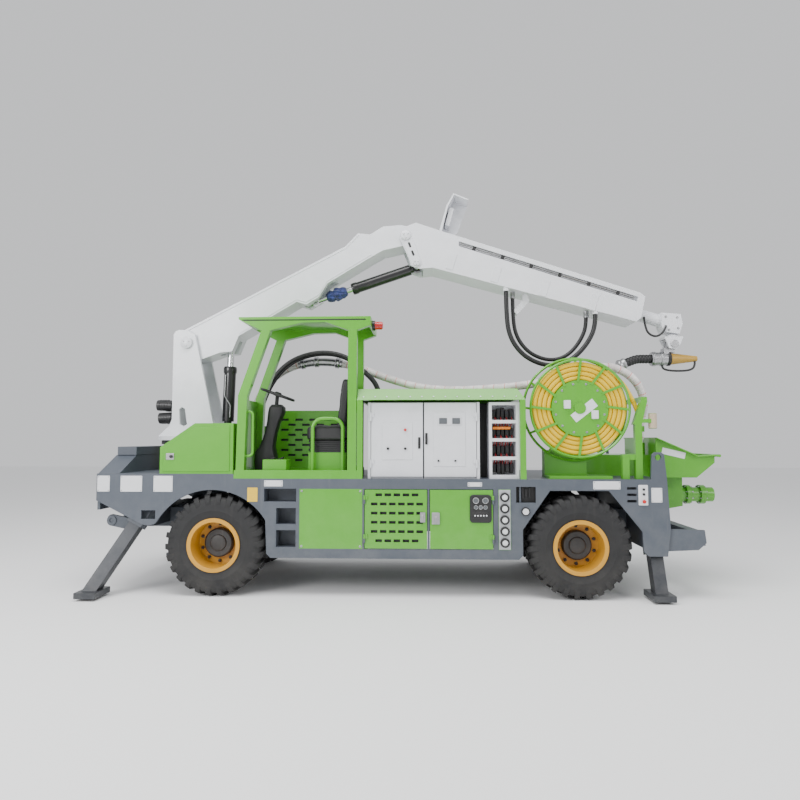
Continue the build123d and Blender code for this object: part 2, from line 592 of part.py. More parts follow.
rim_profile = [
    (RIM_R, RIM_IN), (RIM_FLANGE_R, RIM_IN), (RIM_FLANGE_R, RIM_IN + 12), (RIM_R - 12, RIM_IN + 12),
    (RIM_R - 12, DISC_Y), (SPINDLE_R + PIN_GAP, DISC_Y), (SPINDLE_R + PIN_GAP, -SPINDLE_END - 6),
    (0, -SPINDLE_END - 6), (0, -890.0), (HUB_CAP_R - 15, -890.0), (HUB_CAP_R, -875.0),
    (HUB_CAP_R, DISC_Y - 25), (RIM_R - 20, DISC_Y - 25), (RIM_R - 12, RIM_OUT - 12),
    (RIM_FLANGE_R, RIM_OUT - 12), (RIM_FLANGE_R, RIM_OUT), (RIM_R, RIM_OUT),
]
for place, x in (("front", FRONT), ("rear", REAR)):
    tyre = half_tyre(x, TYRE_OUT, 1, 0.0).fuse(half_tyre(x, TYRE_IN, -1, 0.5)).solid()
    rim = ring_of(rim_profile, x, AXLE_Z)
    save(f"tyre_{place}_left", tyre)
    save(f"tyre_{place}_right", right(tyre))
    save(f"rim_{place}_left", rim)
    save(f"rim_{place}_right", right(rim))

# Outriggers: inclined housings with sliding legs
LEGS = [
    # end, X and Y of the leg's axis at the height Z, direction of the foot
    ("front", FRONT - 871.0, 880.0, 800.0, (-373.0, -275.0, -710.0)),
    ("rear", REAR + 802.0, 895.0, 450.0, (0.0, -130.0, -360.0)),
]
HOUSING_GAP = 5.0
SLIDE_GAP = 0.6
COLLAR = 40.0
LEG_TOP = {"front": 230.0, "rear": 560.0}
PAD_L = 330.0
PAD_W = 220.0
PAD_Z0 = 25.0
PAD_Z1 = 85.0
HOUSING_SPAN = {"front": (-330.0, 90.0), "rear": (-600.0, -10.0)}
housings = []
envelopes = []
for end, x, y, z, way in LEGS:
    along = Vector(*way).normalized()
    start = Vector(x, -y, z)
    leg_plane = Plane(start, x_dir=Vector(0, 1, 0).cross(along), z_dir=along)
    up, down = HOUSING_SPAN[end]
    outer = LEG_SIZE + 2 * (HOUSING_GAP + LEG_WALL)
    inner = LEG_SIZE + 2 * HOUSING_GAP
    envelope = leg_plane * (Pos(0, 0, (up + down) / 2) * Box(outer, outer, down - up))
    tube = envelope - leg_plane * (Pos(0, 0, down - COLLAR - 1500.0) * Box(inner, inner, 3000.0))
    tube -= leg_plane * Box(LEG_SIZE + 2 * SLIDE_GAP, LEG_SIZE + 2 * SLIDE_GAP, 3000.0)
    passage = leg_plane * Box(outer, outer, 3000.0)
    envelopes += [passage, right(passage)]
    housings += [tube, right(tube)]
    reach = (z - PAD_Z1) / -along.Z
    top = -LEG_TOP[end]
    leg = leg_plane * (Pos(0, 0, (top + reach + 80) / 2) * Box(LEG_SIZE, LEG_SIZE, reach + 80 - top))
    foot = start + along * reach
    leg -= box(foot.X - 500, foot.X + 500, foot.Y - 500, foot.Y + 500, -500, PAD_Z1 - 5)
    leg += box(foot.X - PAD_W / 2, foot.X + PAD_W / 2, foot.Y - PAD_L / 2, foot.Y + PAD_L / 2, PAD_Z0, PAD_Z1)
    save(f"leg_{end}_left", leg)
    save(f"leg_{end}_right", right(leg))
save("outrigger_housings", *housings)

# Frame: two rails, with cross frames that carry the skirts
CROSS_FRAMES = [
    # X, low edge
    (FRONT - 1130.0, 930.0),
    (FRONT + 895.0, 540.0),
    (PANEL_X0 + PANEL_W, 480.0),
    (PANEL_X0 + 3 * PANEL_W, 480.0),
    (REAR - 620.0, 480.0),
    (REAR + 680.0, 520.0),
]
FRAME_T = 20.0
frame = box(FRONT - NOSE_BACK, REAR + 880.0, RAIL_Y0, RAIL_Y1, RAIL_Z0, RAIL_Z1)
frame += right(frame)
for x, low in CROSS_FRAMES:
    top = (FRONT_DECK_Z if x < CAB_X0 else DECK_Z) - DECK_T
    frame += box(x, x + FRAME_T, -IN_Y, IN_Y, low, top)
frame += box(FRONT - NOSE_BACK, FRONT - NOSE_BACK + WALL, -IN_Y, IN_Y, 900.0, FRONT_DECK_Z - DECK_T)
for x in (FRONT - NOSE_BACK, FRONT - 1130.0):
    frame += box(x, x + FRAME_T, -400.0, 400.0, RAIL_Z0, 940.0)
frame += box(FRONT - 1010, FRONT - 760, -800, 800, 700, 860)
frame += box(REAR + 700, REAR + 880, -720, 720, 700, 860)
bumper_cheek = side(
    [
        (REAR + 931, 727), (REAR + 912, 600), (REAR + 900, 500), (REAR + 1219, 515),
        (REAR + 1302, 587), (REAR + 1286, 719),
    ],
    -IN_Y, -IN_Y + WALL,
)
frame += bumper_cheek + right(bumper_cheek)
frame += box(REAR + 1180, REAR + 1290, -IN_Y, IN_Y, 560, 700)
frame += box(REAR + 880, REAR + 1180, RAIL_Y0, RAIL_Y1, RAIL_Z0, 700)
frame += box(REAR + 880, REAR + 1180, -RAIL_Y1, -RAIL_Y0, RAIL_Z0, 700)
for envelope in envelopes:
    frame -= envelope
save("chassis_frame", frame)

# Reel with its stand and the wound cable
REEL_IN_Y = REEL_OUT_Y - REEL_WIDTH
REEL_BORE_R = 62.0
CABLE_TOP_R = 500.0
stand = box(REEL_X - 130, REEL_X + 130, -REEL_IN_Y + 40, -REEL_IN_Y + 160, DECK_Z, REEL_Z + 90)
stand += box(REEL_X - 330, REEL_X + 330, -REEL_OUT_Y, -REEL_IN_Y + 200, DECK_Z, DECK_Z + 30)
stand += box(REEL_X - 400 + 70, REEL_X + 50, -REEL_IN_Y + 40, -REEL_IN_Y + 200, DECK_Z, DECK_Z + 300)
stand += cross_pin(REEL_X, REEL_Z, REEL_BORE_R - PIN_GAP, -REEL_OUT_Y - 10, -REEL_IN_Y + 60)
reel = ring_of(
    [
        (REEL_BORE_R, -REEL_OUT_Y), (REEL_HUB_R, -REEL_OUT_Y), (REEL_HUB_R, -REEL_IN_Y),
        (REEL_BORE_R, -REEL_IN_Y),
    ],
    REEL_X, REEL_Z,
)
SPOKES = 12
SPOKE_SKEW = 8.0
RING_T = 14.0
for y, ring_r in ((-REEL_OUT_Y, REEL_R), (-REEL_IN_Y, FAR_RING_R)):
    ring_plane = Plane((REEL_X, y, REEL_Z), x_dir=(1, 0, 0), z_dir=(0, 1, 0))
    reel += ring_of(
        [(ring_r - 2 * RING_T, y), (ring_r - RING_T, y - RING_T), (ring_r, y), (ring_r - RING_T, y + RING_T)],
        REEL_X, REEL_Z,
    )
    for k in range(SPOKES):
        angle = 360.0 / SPOKES * k
        reel += ring_plane * (Rot(0, 0, angle) * Pos((REEL_HUB_R + ring_r - 34) / 2, 0, 0)
                              * Rot(0, 0, SPOKE_SKEW) * Box(ring_r - REEL_HUB_R + 10, 26.0, 12.0))
save("reel", reel)
LAYERS = 4
TURNS = 4
LAYER = (CABLE_TOP_R - REEL_HUB_R) / LAYERS
WOUND_Y0 = -REEL_OUT_Y + 12.0
WOUND_Y1 = -REEL_IN_Y - 12.0
TURN_W = (WOUND_Y1 - WOUND_Y0) / TURNS
DIP = 9.0
coil_profile = [(REEL_HUB_R, WOUND_Y0 + DIP)]
for k in range(LAYERS):
    low = REEL_HUB_R + k * LAYER
    coil_profile += [(low + LAYER * 0.3, WOUND_Y0), (low + LAYER * 0.7, WOUND_Y0), (low + LAYER, WOUND_Y0 + DIP)]
for k in range(TURNS):
    start = WOUND_Y0 + k * TURN_W
    coil_profile += [(CABLE_TOP_R, start + TURN_W * 0.3), (CABLE_TOP_R, start + TURN_W * 0.7)]
    coil_profile += [(CABLE_TOP_R - DIP, start + TURN_W)]
coil_profile += [(REEL_HUB_R, WOUND_Y1)]
coil = ring_of(coil_profile, REEL_X, REEL_Z)
save("cable_coil", coil)

# Guide stand behind the reel
GUIDE_Y = -900.0
guide = box(REAR + 620, REAR + 692, GUIDE_Y - 36, GUIDE_Y + 36, DECK_Z, 1830.0)
guide += side(
    [(REAR + 600, 1815), (REAR + 694, 1830), (REAR + 751, 2060), (REAR + 688, 2075)], GUIDE_Y - 36, GUIDE_Y + 36
)
guide += box(REAR + 690, REAR + 750, GUIDE_Y - 36, -420.0, 2055.0, 2110.0)
guide += box(REAR + 480, REAR + 553, GUIDE_Y - 36, GUIDE_Y + 36, DECK_Z, 1500.0)
guide += box(REAR + 480, REAR + 692, GUIDE_Y - 30, GUIDE_Y + 30, 1440.0, 1500.0)
CLAMP_Z = 1800.0
LEAD_Y = GUIDE_Y + 60.0
guide += box(REAR + 650, REAR + 735, LEAD_Y - CABLE_R - 16, LEAD_Y + CABLE_R + 16, CLAMP_Z - 60, CLAMP_Z)
guide += rod((REAR + 815, GUIDE_Y, 1775), (REAR + 815, GUIDE_Y, 1935), 42.0)
guide += box(REAR + 690, REAR + 825, GUIDE_Y - 36, GUIDE_Y + 30, 1835, 1875)
save("reel_stands", stand, guide)
cable_lead = hose(
    "cable lead",
    [
        (REEL_X + 334, LEAD_Y, REEL_Z + 412), (REAR + 515, LEAD_Y, 2289), (REAR + 615, LEAD_Y, 2110),
        (REAR + 695, LEAD_Y, 1925), (REAR + 695, LEAD_Y, CLAMP_Z),
    ],
    CABLE_R,
)
save("cable_lead", cable_lead)

# Concrete pump, hopper and outlet
HOPPER_HALF = 560.0
HOPPER_T = 12.0
PUMP_HALF = 330.0
pump = box(REAR + 250, REAR + 960, -PUMP_HALF, PUMP_HALF, DECK_Z, 1480.0)
pump += side(
    [(REAR + 905, 820), (REAR + 1330, 900), (REAR + 1330, 1235), (REAR + 960, 1235), (REAR + 960, 1300), (REAR + 905, 1300)],
    -PUMP_HALF, PUMP_HALF,
)
pump += cross_pin(REAR + 1150, 1040, 70.0, -PUMP_HALF - 60, PUMP_HALF + 60)
HOPPER_OUT = [
    (REAR + 960, 1235), (REAR + 1400, 1235), (REAR + 1600, 1400), (REAR + 1600, 1490), (REAR + 1410, 1480),
    (REAR + 960, 1680),
]
HOPPER_IN = [(REAR + 972, 1250), (REAR + 1394, 1250), (REAR + 1588, 1406), (REAR + 1588, 1800), (REAR + 972, 1800)]
hopper = side(HOPPER_OUT, -HOPPER_HALF, HOPPER_HALF)
hopper -= side(HOPPER_IN, -HOPPER_HALF + HOPPER_T, HOPPER_HALF - HOPPER_T)
LIP = 38.0
lip_side = side(
    [(REAR + 960, 1668), (REAR + 960, 1680), (REAR + 1410, 1480), (REAR + 1600, 1490), (REAR + 1600, 1476),
     (REAR + 1408, 1466)],
    -HOPPER_HALF - LIP, -HOPPER_HALF,
)
hopper += lip_side + right(lip_side)
hopper += box(REAR + 1600, REAR + 1640, -HOPPER_HALF - LIP, HOPPER_HALF + LIP, 1470, 1490)
hopper += cross_pin(REAR + 1640, 1478, 16.0, -HOPPER_HALF - LIP, HOPPER_HALF + LIP)
save("hopper", hopper)
outlet = rod((REAR + 1330, 0, 1005), (REAR + 1800, 0, 1005), 85.0)
outlet += rod((REAR + 1480, 0, 1005), (REAR + 1530, 0, 1005), 112.0)
outlet += rod((REAR + 1640, 0, 1005), (REAR + 1700, 0, 1005), 112.0)
PUMP_STUB = (REAR + 880.0, -260.0)
PUMP_STUB_Z = 1620.0
pump += rod((*PUMP_STUB, 1480), (*PUMP_STUB, PUMP_STUB_Z), HOSE_R + 12)
save("pump", pump + outlet)

# Concrete hose from the deck stub over the bay's roof to the pump
ROOF_HOSE_Z = BAY_TOP_Z + HOSE_R + 4.0
concrete_hose = hose(
    "concrete hose",
    [
        (*HOSE_FOOT, HOSE_FOOT_Z), (*HOSE_FOOT, 1960), (FRONT + 159, 290, 2330), (FRONT + 469, 270, 2580),
        (FRONT + 889, 255, 2665), (CAB_X1 - 238, 245, 2600), (BAY_X0 + 229, 240, 2430), (BAY_X0 + 669, 180, 2300),
        (BAY_X1 - 661, 0, ROOF_HOSE_Z), (BAY_X1 - 181, -330, ROOF_HOSE_Z + 4), (REAR - 285, -460, 2300),
        (REAR + 95, -465, 2400), (REAR + 295, -465, 2468), (REAR + 495, -465, 2492), (REAR + 695, -455, 2420),
        (REAR + 845, -435, 2262), (REAR + 915, -380, 2060), (*PUMP_STUB, 1840), (*PUMP_STUB, PUMP_STUB_Z),
    ],
    HOSE_R,
)
save("concrete_hose", concrete_hose)

# Slew pedestal and turret
RING_GAP = 0.8
pedestal = rod((TURRET_X, 0, FRONT_DECK_Z), (TURRET_X, 0, 1600.0), 330.0)
pedestal += rod((TURRET_X, 0, 1600.0), (TURRET_X, 0, TURRET_LOW_Z - RING_GAP), 400.0)
save("pedestal", pedestal)
FLANGE_T = 50.0
FLANGE_Z = TURRET_LOW_Z + FLANGE_T
TURRET_OUT_Y = TURRET_IN_Y + TURRET_PLATE
BOOM_PIN_R = 60.0
turret = rod((TURRET_X, 0, TURRET_LOW_Z), (TURRET_X, 0, FLANGE_Z), TURRET_R)
cheek = side(
    [
        (TURRET_X - 380, FLANGE_Z), (TURRET_X - 330, 1745), (TURRET_X - 250, 1820), (TURRET_X - 218, 1900),
        (TURRET_X - 218, 2935), (TURRET_X - 190, 2975), (TURRET_X - 153, 2992), (TURRET_X - 40, 2985),
        (TURRET_X + 47, 2933), (TURRET_X + 283, 1876), (TURRET_X + 320, 1760), (TURRET_X + 370, FLANGE_Z),
    ],
    -TURRET_OUT_Y, -TURRET_IN_Y,
)
turret += cheek
turret += right(cheek)
turret += box(TURRET_X - 218, TURRET_X - 180, -TURRET_IN_Y, TURRET_IN_Y, FLANGE_Z, 2480.0)
turret += cross_pin(*BOOM_PIN, BOOM_PIN_R, -TURRET_OUT_Y - 20, TURRET_OUT_Y + 20)
LIFT_FOOT = (TURRET_X + 395.0, 1790.0)
CYL_PIN_R = 36.0
CYL_EYE_R = 62.0
CYL_HALF = 48.0
for s in (-1, 1):
    y0, y1 = sorted((s * 56.0, s * 90.0))
    turret += side(
        [
            (LIFT_FOOT[0] - 120, FLANGE_Z - 30), (LIFT_FOOT[0] + 20, FLANGE_Z - 30), (LIFT_FOOT[0] + 60, FLANGE_Z + 60),
            (LIFT_FOOT[0] + 45, LIFT_FOOT[1] + 50), (LIFT_FOOT[0] - 45, LIFT_FOOT[1] + 50),
        ],
        y0, y1,
    )
turret += cross_pin(*LIFT_FOOT, CYL_PIN_R, -90, 90)
turret -= side(
    [(TURRET_X - 120, 1840), (TURRET_X - 70, 1815), (TURRET_X - 30, 1840), (TURRET_X - 60, 2030),
     (TURRET_X - 100, 2050), (TURRET_X - 130, 2020)],
    -TURRET_OUT_Y - 1, TURRET_OUT_Y + 1,
)
save("turret", turret)
turret_lamps = []
for s in (-1, 1):
    x, y = TURRET_X - 218, s * 125.0
    lamp = box(x - 40, x, y - 25, y + 25, 1880, 2120)
    lamp += rod((x - 30, y, 2070), (x - 215, y, 2075), 66.0)
    lamp += rod((x - 30, y, 1925), (x - 190, y, 1915), 66.0)
    turret_lamps.append(lamp)
save("turret_lamps", *turret_lamps)

# Boom with pockets for the two rod eyes
LIFT_EYE = (BOOM_PIN[0] + 476.0, BOOM_PIN[1] - 45.0)
ARM_EYE = (ELBOW[0] - 1136.0, ELBOW[1] - 758.0)
BOOM_FOOT = [(620, 90), (540, -100), (400, -110), (177, -190), (0, -200), (-130, -120), (-150, 90), (-74, 155)]
BOOM_HEAD = [
    (-746, -115), (-588, 47), (-440, 30), (-282, 127), (-62, 142), (74, 112), (134, 32), (114, -63), (26, -103),
    (-280, -168), (-423, -248), (-966, -573), (-1066, -738), (-1216, -828), (-1336, -793),
]
boom = side(moved(BOOM_FOOT, BOOM_PIN) + moved(BOOM_HEAD, ELBOW), -BOOM_HALF, BOOM_HALF)
boom -= cross_pin(*BOOM_PIN, BOOM_PIN_R + PIN_GAP, -400, 400)
ELBOW_PIN_R = 50.0
boom -= cross_pin(*ELBOW, ELBOW_PIN_R + PIN_GAP, -400, 400)
for eye, roof_z in ((LIFT_EYE, 70.0), (ARM_EYE, 80.0)):
    boom -= box(eye[0] - 130, eye[0] + 130, -56, 56, eye[1] - 300, eye[1] + roof_z + 20)
ROD_ROOM = 98.0
boom -= box(ARM_EYE[0] + 55, ARM_EYE[0] + 360, -ROD_ROOM, ROD_ROOM, ARM_EYE[1] - 300, ARM_EYE[1] + 250)
save("boom", boom)

# Arm: clevis at the elbow, box beam, bore for the telescopic tube
ARM_DIR = (math.cos(math.radians(ARM_DEG)), -math.sin(math.radians(ARM_DEG)))
ARM_FOOT = (ELBOW[0] + 130.0, ELBOW[1] - 338.0)
ARM_OUTLINE = [
    (-75, 30), (-40, 95), (120, 158), (412, 55), (2784, -729), (2842, -777), (2790, -1029), (2730, -1076),
    (326, -400), (169, -410), (60, -370), (40, -300), (-75, -30),
]
TUBE_END = (ELBOW[0] + 2800.0, ELBOW[1] - 950.0)
arm = side(moved(ARM_OUTLINE, ELBOW), -ARM_HALF, ARM_HALF)
arm -= box(ELBOW[0] - 200, ELBOW[0] + 205, -BOOM_HALF - GAP, BOOM_HALF + GAP, ELBOW[1] - 600, ELBOW[1] + 400)
arm += cross_pin(*ELBOW, ELBOW_PIN_R, -ARM_HALF - 15, ARM_HALF + 15)
arm += cross_pin(*ARM_FOOT, CYL_PIN_R, -ARM_HALF - 15, ARM_HALF + 15)
TUBE_IN = 2350.0
TUBE_OUT = 300.0
tube_start = (TUBE_END[0] - TUBE_IN * ARM_DIR[0], 0, TUBE_END[1] - TUBE_IN * ARM_DIR[1])
tube_stop = (TUBE_END[0] + TUBE_OUT * ARM_DIR[0], 0, TUBE_END[1] + TUBE_OUT * ARM_DIR[1])
arm -= rod(tube_start, tube_stop, TUBE_R + PIN_GAP)
TRAY_OUTLINE = [(640, -80), (2760, -780), (2745, -835), (640, -140)]
TRAY_DEEP = 40.0
arm -= side(moved(TRAY_OUTLINE, ELBOW), -ARM_HALF - 1, -ARM_HALF + TRAY_DEEP)
arm -= side(moved(TRAY_OUTLINE, ELBOW), ARM_HALF - TRAY_DEEP, ARM_HALF + 1)
LOOP_Y = -175.0
LOOP_ENDS = [
    # X, Z of the fitting's end
    (ELBOW[0] + 1206.0, ELBOW[1] - 688.0),
    (ELBOW[0] + 2261.0, ELBOW[1] - 978.0),
]
for x, z in LOOP_ENDS:
    arm += rod((x, LOOP_Y, z), (x, LOOP_Y, z + 80), ARM_HOSE_R + 10)
save("arm", arm)

# Hose loop hung from the arm
(loop_x0, loop_z0), (loop_x1, loop_z1) = LOOP_ENDS
arm_hose = hose(
    "arm hose",
    [
        (loop_x0, LOOP_Y, loop_z0), (loop_x0, LOOP_Y, 3120), (loop_x0 + 40, LOOP_Y, 2880),
        (loop_x0 + 165, LOOP_Y, 2690), (loop_x0 + 330, LOOP_Y, 2580), (loop_x0 + 500, LOOP_Y, 2535),
        (loop_x1 - 390, LOOP_Y, 2555), (loop_x1 - 230, LOOP_Y, 2650), (loop_x1 - 90, LOOP_Y, 2810),
        (loop_x1, LOOP_Y, 3000), (loop_x1, LOOP_Y, loop_z1),
    ],
    ARM_HOSE_R,
)
save("arm_hoses", arm_hose)

# Lamp guard on the arm's root and the small lamp below the beam
GUARD_HALF = 130.0
GUARD_T = 14.0
guard = side(
    moved([(385, 10), (498, 401), (583, 549), (765, 471), (642, 139), (520, 10)], ELBOW), -GUARD_HALF, GUARD_HALF
)
guard -= side(
    moved([(403, -60), (516, 392), (592, 530), (900, 398), (900, -60)], ELBOW), -GUARD_HALF - 1, GUARD_HALF - GUARD_T
)
guard -= side(moved(ARM_OUTLINE, ELBOW), -ARM_HALF, ARM_HALF)
guard += side(moved([(480, 180), (530, 165), (590, 380), (540, 395)], ELBOW), -60, GUARD_HALF)
under_lamp = side(
    moved([(1297, -913), (1345, -963), (1498, -800), (1465, -690), (1425, -680), (1412, -785)], ELBOW), -110.0, -20.0
)
under_lamp -= side(moved(ARM_OUTLINE, ELBOW), -ARM_HALF, ARM_HALF)
save("arm_lamp_guard", guard, under_lamp)

# Telescopic tube with the wrist bracket
tube_tail = (tube_start[0] + 10 * ARM_DIR[0], 0, tube_start[2] + 10 * ARM_DIR[1])
tube = rod(tube_tail, tube_stop, TUBE_R)
WRIST = (tube_stop[0] + 120.0, tube_stop[2] - 10.0)
tube += side(
    moved([(-140, 100), (90, 80), (110, -40), (70, -160), (-110, -130), (-140, -60)], WRIST), -95, 95
)
SPIGOT_R = 40.0
SPIGOT_H = 60.0
tube -= rod((WRIST[0], 0, WRIST[1] - 400), (WRIST[0], 0, WRIST[1] - 160 + SPIGOT_H + 5), SPIGOT_R + PIN_GAP)
save("telescope", tube)

# Rotary unit under the wrist, then the nozzle
TURN_Z = WRIST[1] - 160.0
HEAD_X = WRIST[0]
rotor = rod((HEAD_X, 0, TURN_Z - 30), (HEAD_X, 0, TURN_Z + SPIGOT_H), SPIGOT_R)
rotor += rod((HEAD_X, 0, TURN_Z - 30), (HEAD_X, 0, TURN_Z - 5), 80.0)
TILT = (HEAD_X + 5.0, TURN_Z - 120.0)
for s in (-1, 1):
    y0, y1 = sorted((s * 72.0, s * 100.0))
    rotor += side(
        [
            (HEAD_X - 110, TURN_Z - 30), (HEAD_X + 110, TURN_Z - 30), (TILT[0] + 75, TILT[1]),
            (TILT[0] + 20, TILT[1] - 60), (TILT[0] - 60, TILT[1] - 50),
        ],
        y0, y1,
    )
rotor += box(HEAD_X - 110, HEAD_X + 110, -100, 100, TURN_Z - 55, TURN_Z - 30)
rotor += cross_pin(*TILT, 30.0, -100, 100)
save("rotary_unit", rotor)
NOZZLE_Z = TILT[1] - 170.0
nozzle = cross_pin(*TILT, 62.0, -66, 66)
nozzle -= cross_pin(*TILT, 30.0 + PIN_GAP, -70, 70)
nozzle += box(TILT[0] - 110, TILT[0] - 50, -60, 60, NOZZLE_Z, TILT[1] - 60)
nozzle += box(TILT[0] - 110, TILT[0] + 20, -60, 60, TILT[1] - 95, TILT[1] - 45)
nozzle += rod((TILT[0] - 250, 0, NOZZLE_Z), (TILT[0] - 45, 0, NOZZLE_Z), 80.0)
nozzle -= cross_pin(*TILT, 30.0 + PIN_GAP, -70, 70)
save("nozzle_body", nozzle)
tip_plane = Plane((TILT[0] - 45, 0, NOZZLE_Z), z_dir=(1, 0, 0))
tip = tip_plane * Cone(75.0, 32.0, 340.0, align=(Align.CENTER, Align.CENTER, Align.MIN))
save("nozzle_tip", tip)
SLEEVE_R = 55.0
sleeve_x = TILT[0] - 250.0
sleeve = rail(
    [(sleeve_x, 0, NOZZLE_Z), (sleeve_x - 170, 0, NOZZLE_Z), (sleeve_x - 360, 0, NOZZLE_Z - 70)], SLEEVE_R, 450.0
)
sleeve_end = Vector(sleeve_x - 360, 0, NOZZLE_Z - 70)
sleeve_way = Vector(-190, 0, -70).normalized()
sleeve += rod(sleeve_end - sleeve_way * 60, sleeve_end + sleeve_way * 40, SLEEVE_R + 14)
save("nozzle_hoses", sleeve)

# Cylinders
CYLINDERS = [
    # name, foot pin, rod eye, barrel length, barrel radius, rod radius
    ("lift", LIFT_FOOT, LIFT_EYE, 770.0, 72.0, 42.0),
    ("arm", ARM_FOOT, ARM_EYE, 850.0, 66.0, 36.0),
]
ROD_WRAP = [
    # distance from the rod's eye, radius of the cloth tied round the rod
    (180, 44), (215, 68), (262, 80), (300, 62), (345, 82), (395, 64), (418, 46),
]
for name, foot, eye, barrel_l, barrel_r, rod_r in CYLINDERS:
    span = Vector(eye[0] - foot[0], 0, eye[1] - foot[1])
    along = span.normalized()
    base = Vector(foot[0], 0, foot[1])
    top = Vector(eye[0], 0, eye[1])
    barrel = rod(base + along * 90, base + along * barrel_l, barrel_r)
    barrel += rod(base + along * 40, base + along * 100, 46.0)
    barrel += cross_pin(*foot, CYL_EYE_R, -CYL_HALF, CYL_HALF)
    barrel -= cross_pin(*foot, CYL_PIN_R + PIN_GAP, -CYL_HALF - 1, CYL_HALF + 1)
    barrel -= rod(base + along * 130, base + along * (barrel_l + 1), rod_r + PIN_GAP)
    save(f"{name}_barrel", barrel)
    piston = rod(base + along * 240, top - along * 30, rod_r)
    piston += cross_pin(*eye, 50.0, -CYL_HALF, CYL_HALF)
    piston -= cross_pin(*eye, 26.0, -CYL_HALF - 1, CYL_HALF + 1)
    save(f"{name}_rod", piston)
    if name == "arm":
        wrap_plane = Plane(top, x_dir=(0, 1, 0), z_dir=-along)
        wrap_outline = [(rod_r, 180)] + [(r, d) for d, r in ROD_WRAP] + [(rod_r, 418)]
        wrap_wire = Polyline(*[wrap_plane.from_local_coords((r, 0, d)) for r, d in wrap_outline], close=True)
        wrap = revolve(make_face(wrap_wire), axis=Axis(top, -along)).solid()
        save("rod_wrap", wrap)
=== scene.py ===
import json
import math

import bmesh
import bpy
import numpy as np
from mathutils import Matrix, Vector


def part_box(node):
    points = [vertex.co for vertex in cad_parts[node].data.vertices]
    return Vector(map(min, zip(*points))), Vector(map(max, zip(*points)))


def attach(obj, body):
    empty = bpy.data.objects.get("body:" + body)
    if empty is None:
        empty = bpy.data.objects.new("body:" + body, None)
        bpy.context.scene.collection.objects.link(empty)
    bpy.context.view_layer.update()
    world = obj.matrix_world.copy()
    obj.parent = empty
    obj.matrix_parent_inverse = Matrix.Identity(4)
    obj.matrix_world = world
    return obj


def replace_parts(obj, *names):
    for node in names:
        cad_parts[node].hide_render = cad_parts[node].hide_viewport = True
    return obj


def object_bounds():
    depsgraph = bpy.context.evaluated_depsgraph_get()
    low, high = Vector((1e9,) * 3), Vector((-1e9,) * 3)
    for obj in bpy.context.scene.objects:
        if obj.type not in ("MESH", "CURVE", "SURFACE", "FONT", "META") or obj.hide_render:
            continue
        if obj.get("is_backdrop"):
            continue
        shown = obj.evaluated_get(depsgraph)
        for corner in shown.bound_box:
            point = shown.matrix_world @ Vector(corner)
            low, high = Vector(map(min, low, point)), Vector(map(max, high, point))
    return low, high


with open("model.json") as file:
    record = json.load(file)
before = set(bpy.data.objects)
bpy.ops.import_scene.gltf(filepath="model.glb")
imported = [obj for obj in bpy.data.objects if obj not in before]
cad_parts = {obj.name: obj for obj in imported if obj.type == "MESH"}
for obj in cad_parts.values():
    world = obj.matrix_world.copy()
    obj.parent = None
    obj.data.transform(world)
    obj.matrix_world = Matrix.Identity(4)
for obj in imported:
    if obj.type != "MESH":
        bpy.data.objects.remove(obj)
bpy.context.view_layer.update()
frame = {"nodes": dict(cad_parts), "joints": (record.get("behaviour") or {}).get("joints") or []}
nodes = frame["nodes"]

# Studio. A pale floor with soft light from a wide overhead panel and two side panels, and the camera
# where the photograph was taken: level with the skirts, square to the machine's left side.
YAW, PITCH = math.radians(2.531), math.radians(3.535)
look = Vector((-math.sin(YAW) * math.cos(PITCH), math.cos(YAW) * math.cos(PITCH), math.sin(PITCH)))
camera = bpy.data.objects.new("camera", bpy.data.cameras.new("camera"))
camera.location = (0.1301, -7.7768, 1.6603)
camera.rotation_euler = look.to_track_quat("-Z", "Y").to_euler()
camera.data.lens = 28.56
camera.data.sensor_width = 36.0
camera.data.clip_end = 200.0
bpy.context.scene.collection.objects.link(camera)
bpy.context.scene.camera = camera


def panel_light(name, place, aim, size, watts):
    """A rectangular soft light at place, turned to shine on aim."""
    lamp = bpy.data.lights.new(name, "AREA")
    lamp.shape = "RECTANGLE"
    lamp.size, lamp.size_y = size
    lamp.energy = watts
    shone = bpy.data.objects.new(name, lamp)
    shone.location = place
    shone.rotation_euler = (Vector(aim) - Vector(place)).to_track_quat("-Z", "Y").to_euler()
    bpy.context.scene.collection.objects.link(shone)


panel_light("light_over", (-1.0, -3.5, 9.5), (0.0, 0.0, 1.2), (8.0, 5.0), 900.0)
panel_light("light_front", (-6.5, -8.0, 4.6), (0.0, -0.6, 1.6), (4.0, 3.0), 520.0)
panel_light("light_rear", (7.5, -5.0, 4.5), (1.0, -0.4, 1.6), (4.0, 3.0), 200.0)
world = bpy.data.worlds.new("studio")
world.use_nodes = True
world.node_tree.nodes["Background"].inputs["Color"].default_value = (0.97, 0.98, 1.0, 1.0)
world.node_tree.nodes["Background"].inputs["Strength"].default_value = 0.82
bpy.context.scene.world = world


def net(shape):
    """Quads of a rows x columns net of points, as an index array."""
    rows, columns = shape[:2]
    i, j = (a.ravel() for a in np.meshgrid(np.arange(rows - 1), np.arange(columns - 1), indexing="ij"))
    at = i * columns + j
    return np.stack([at, at + 1, at + columns + 1, at + columns], 1)


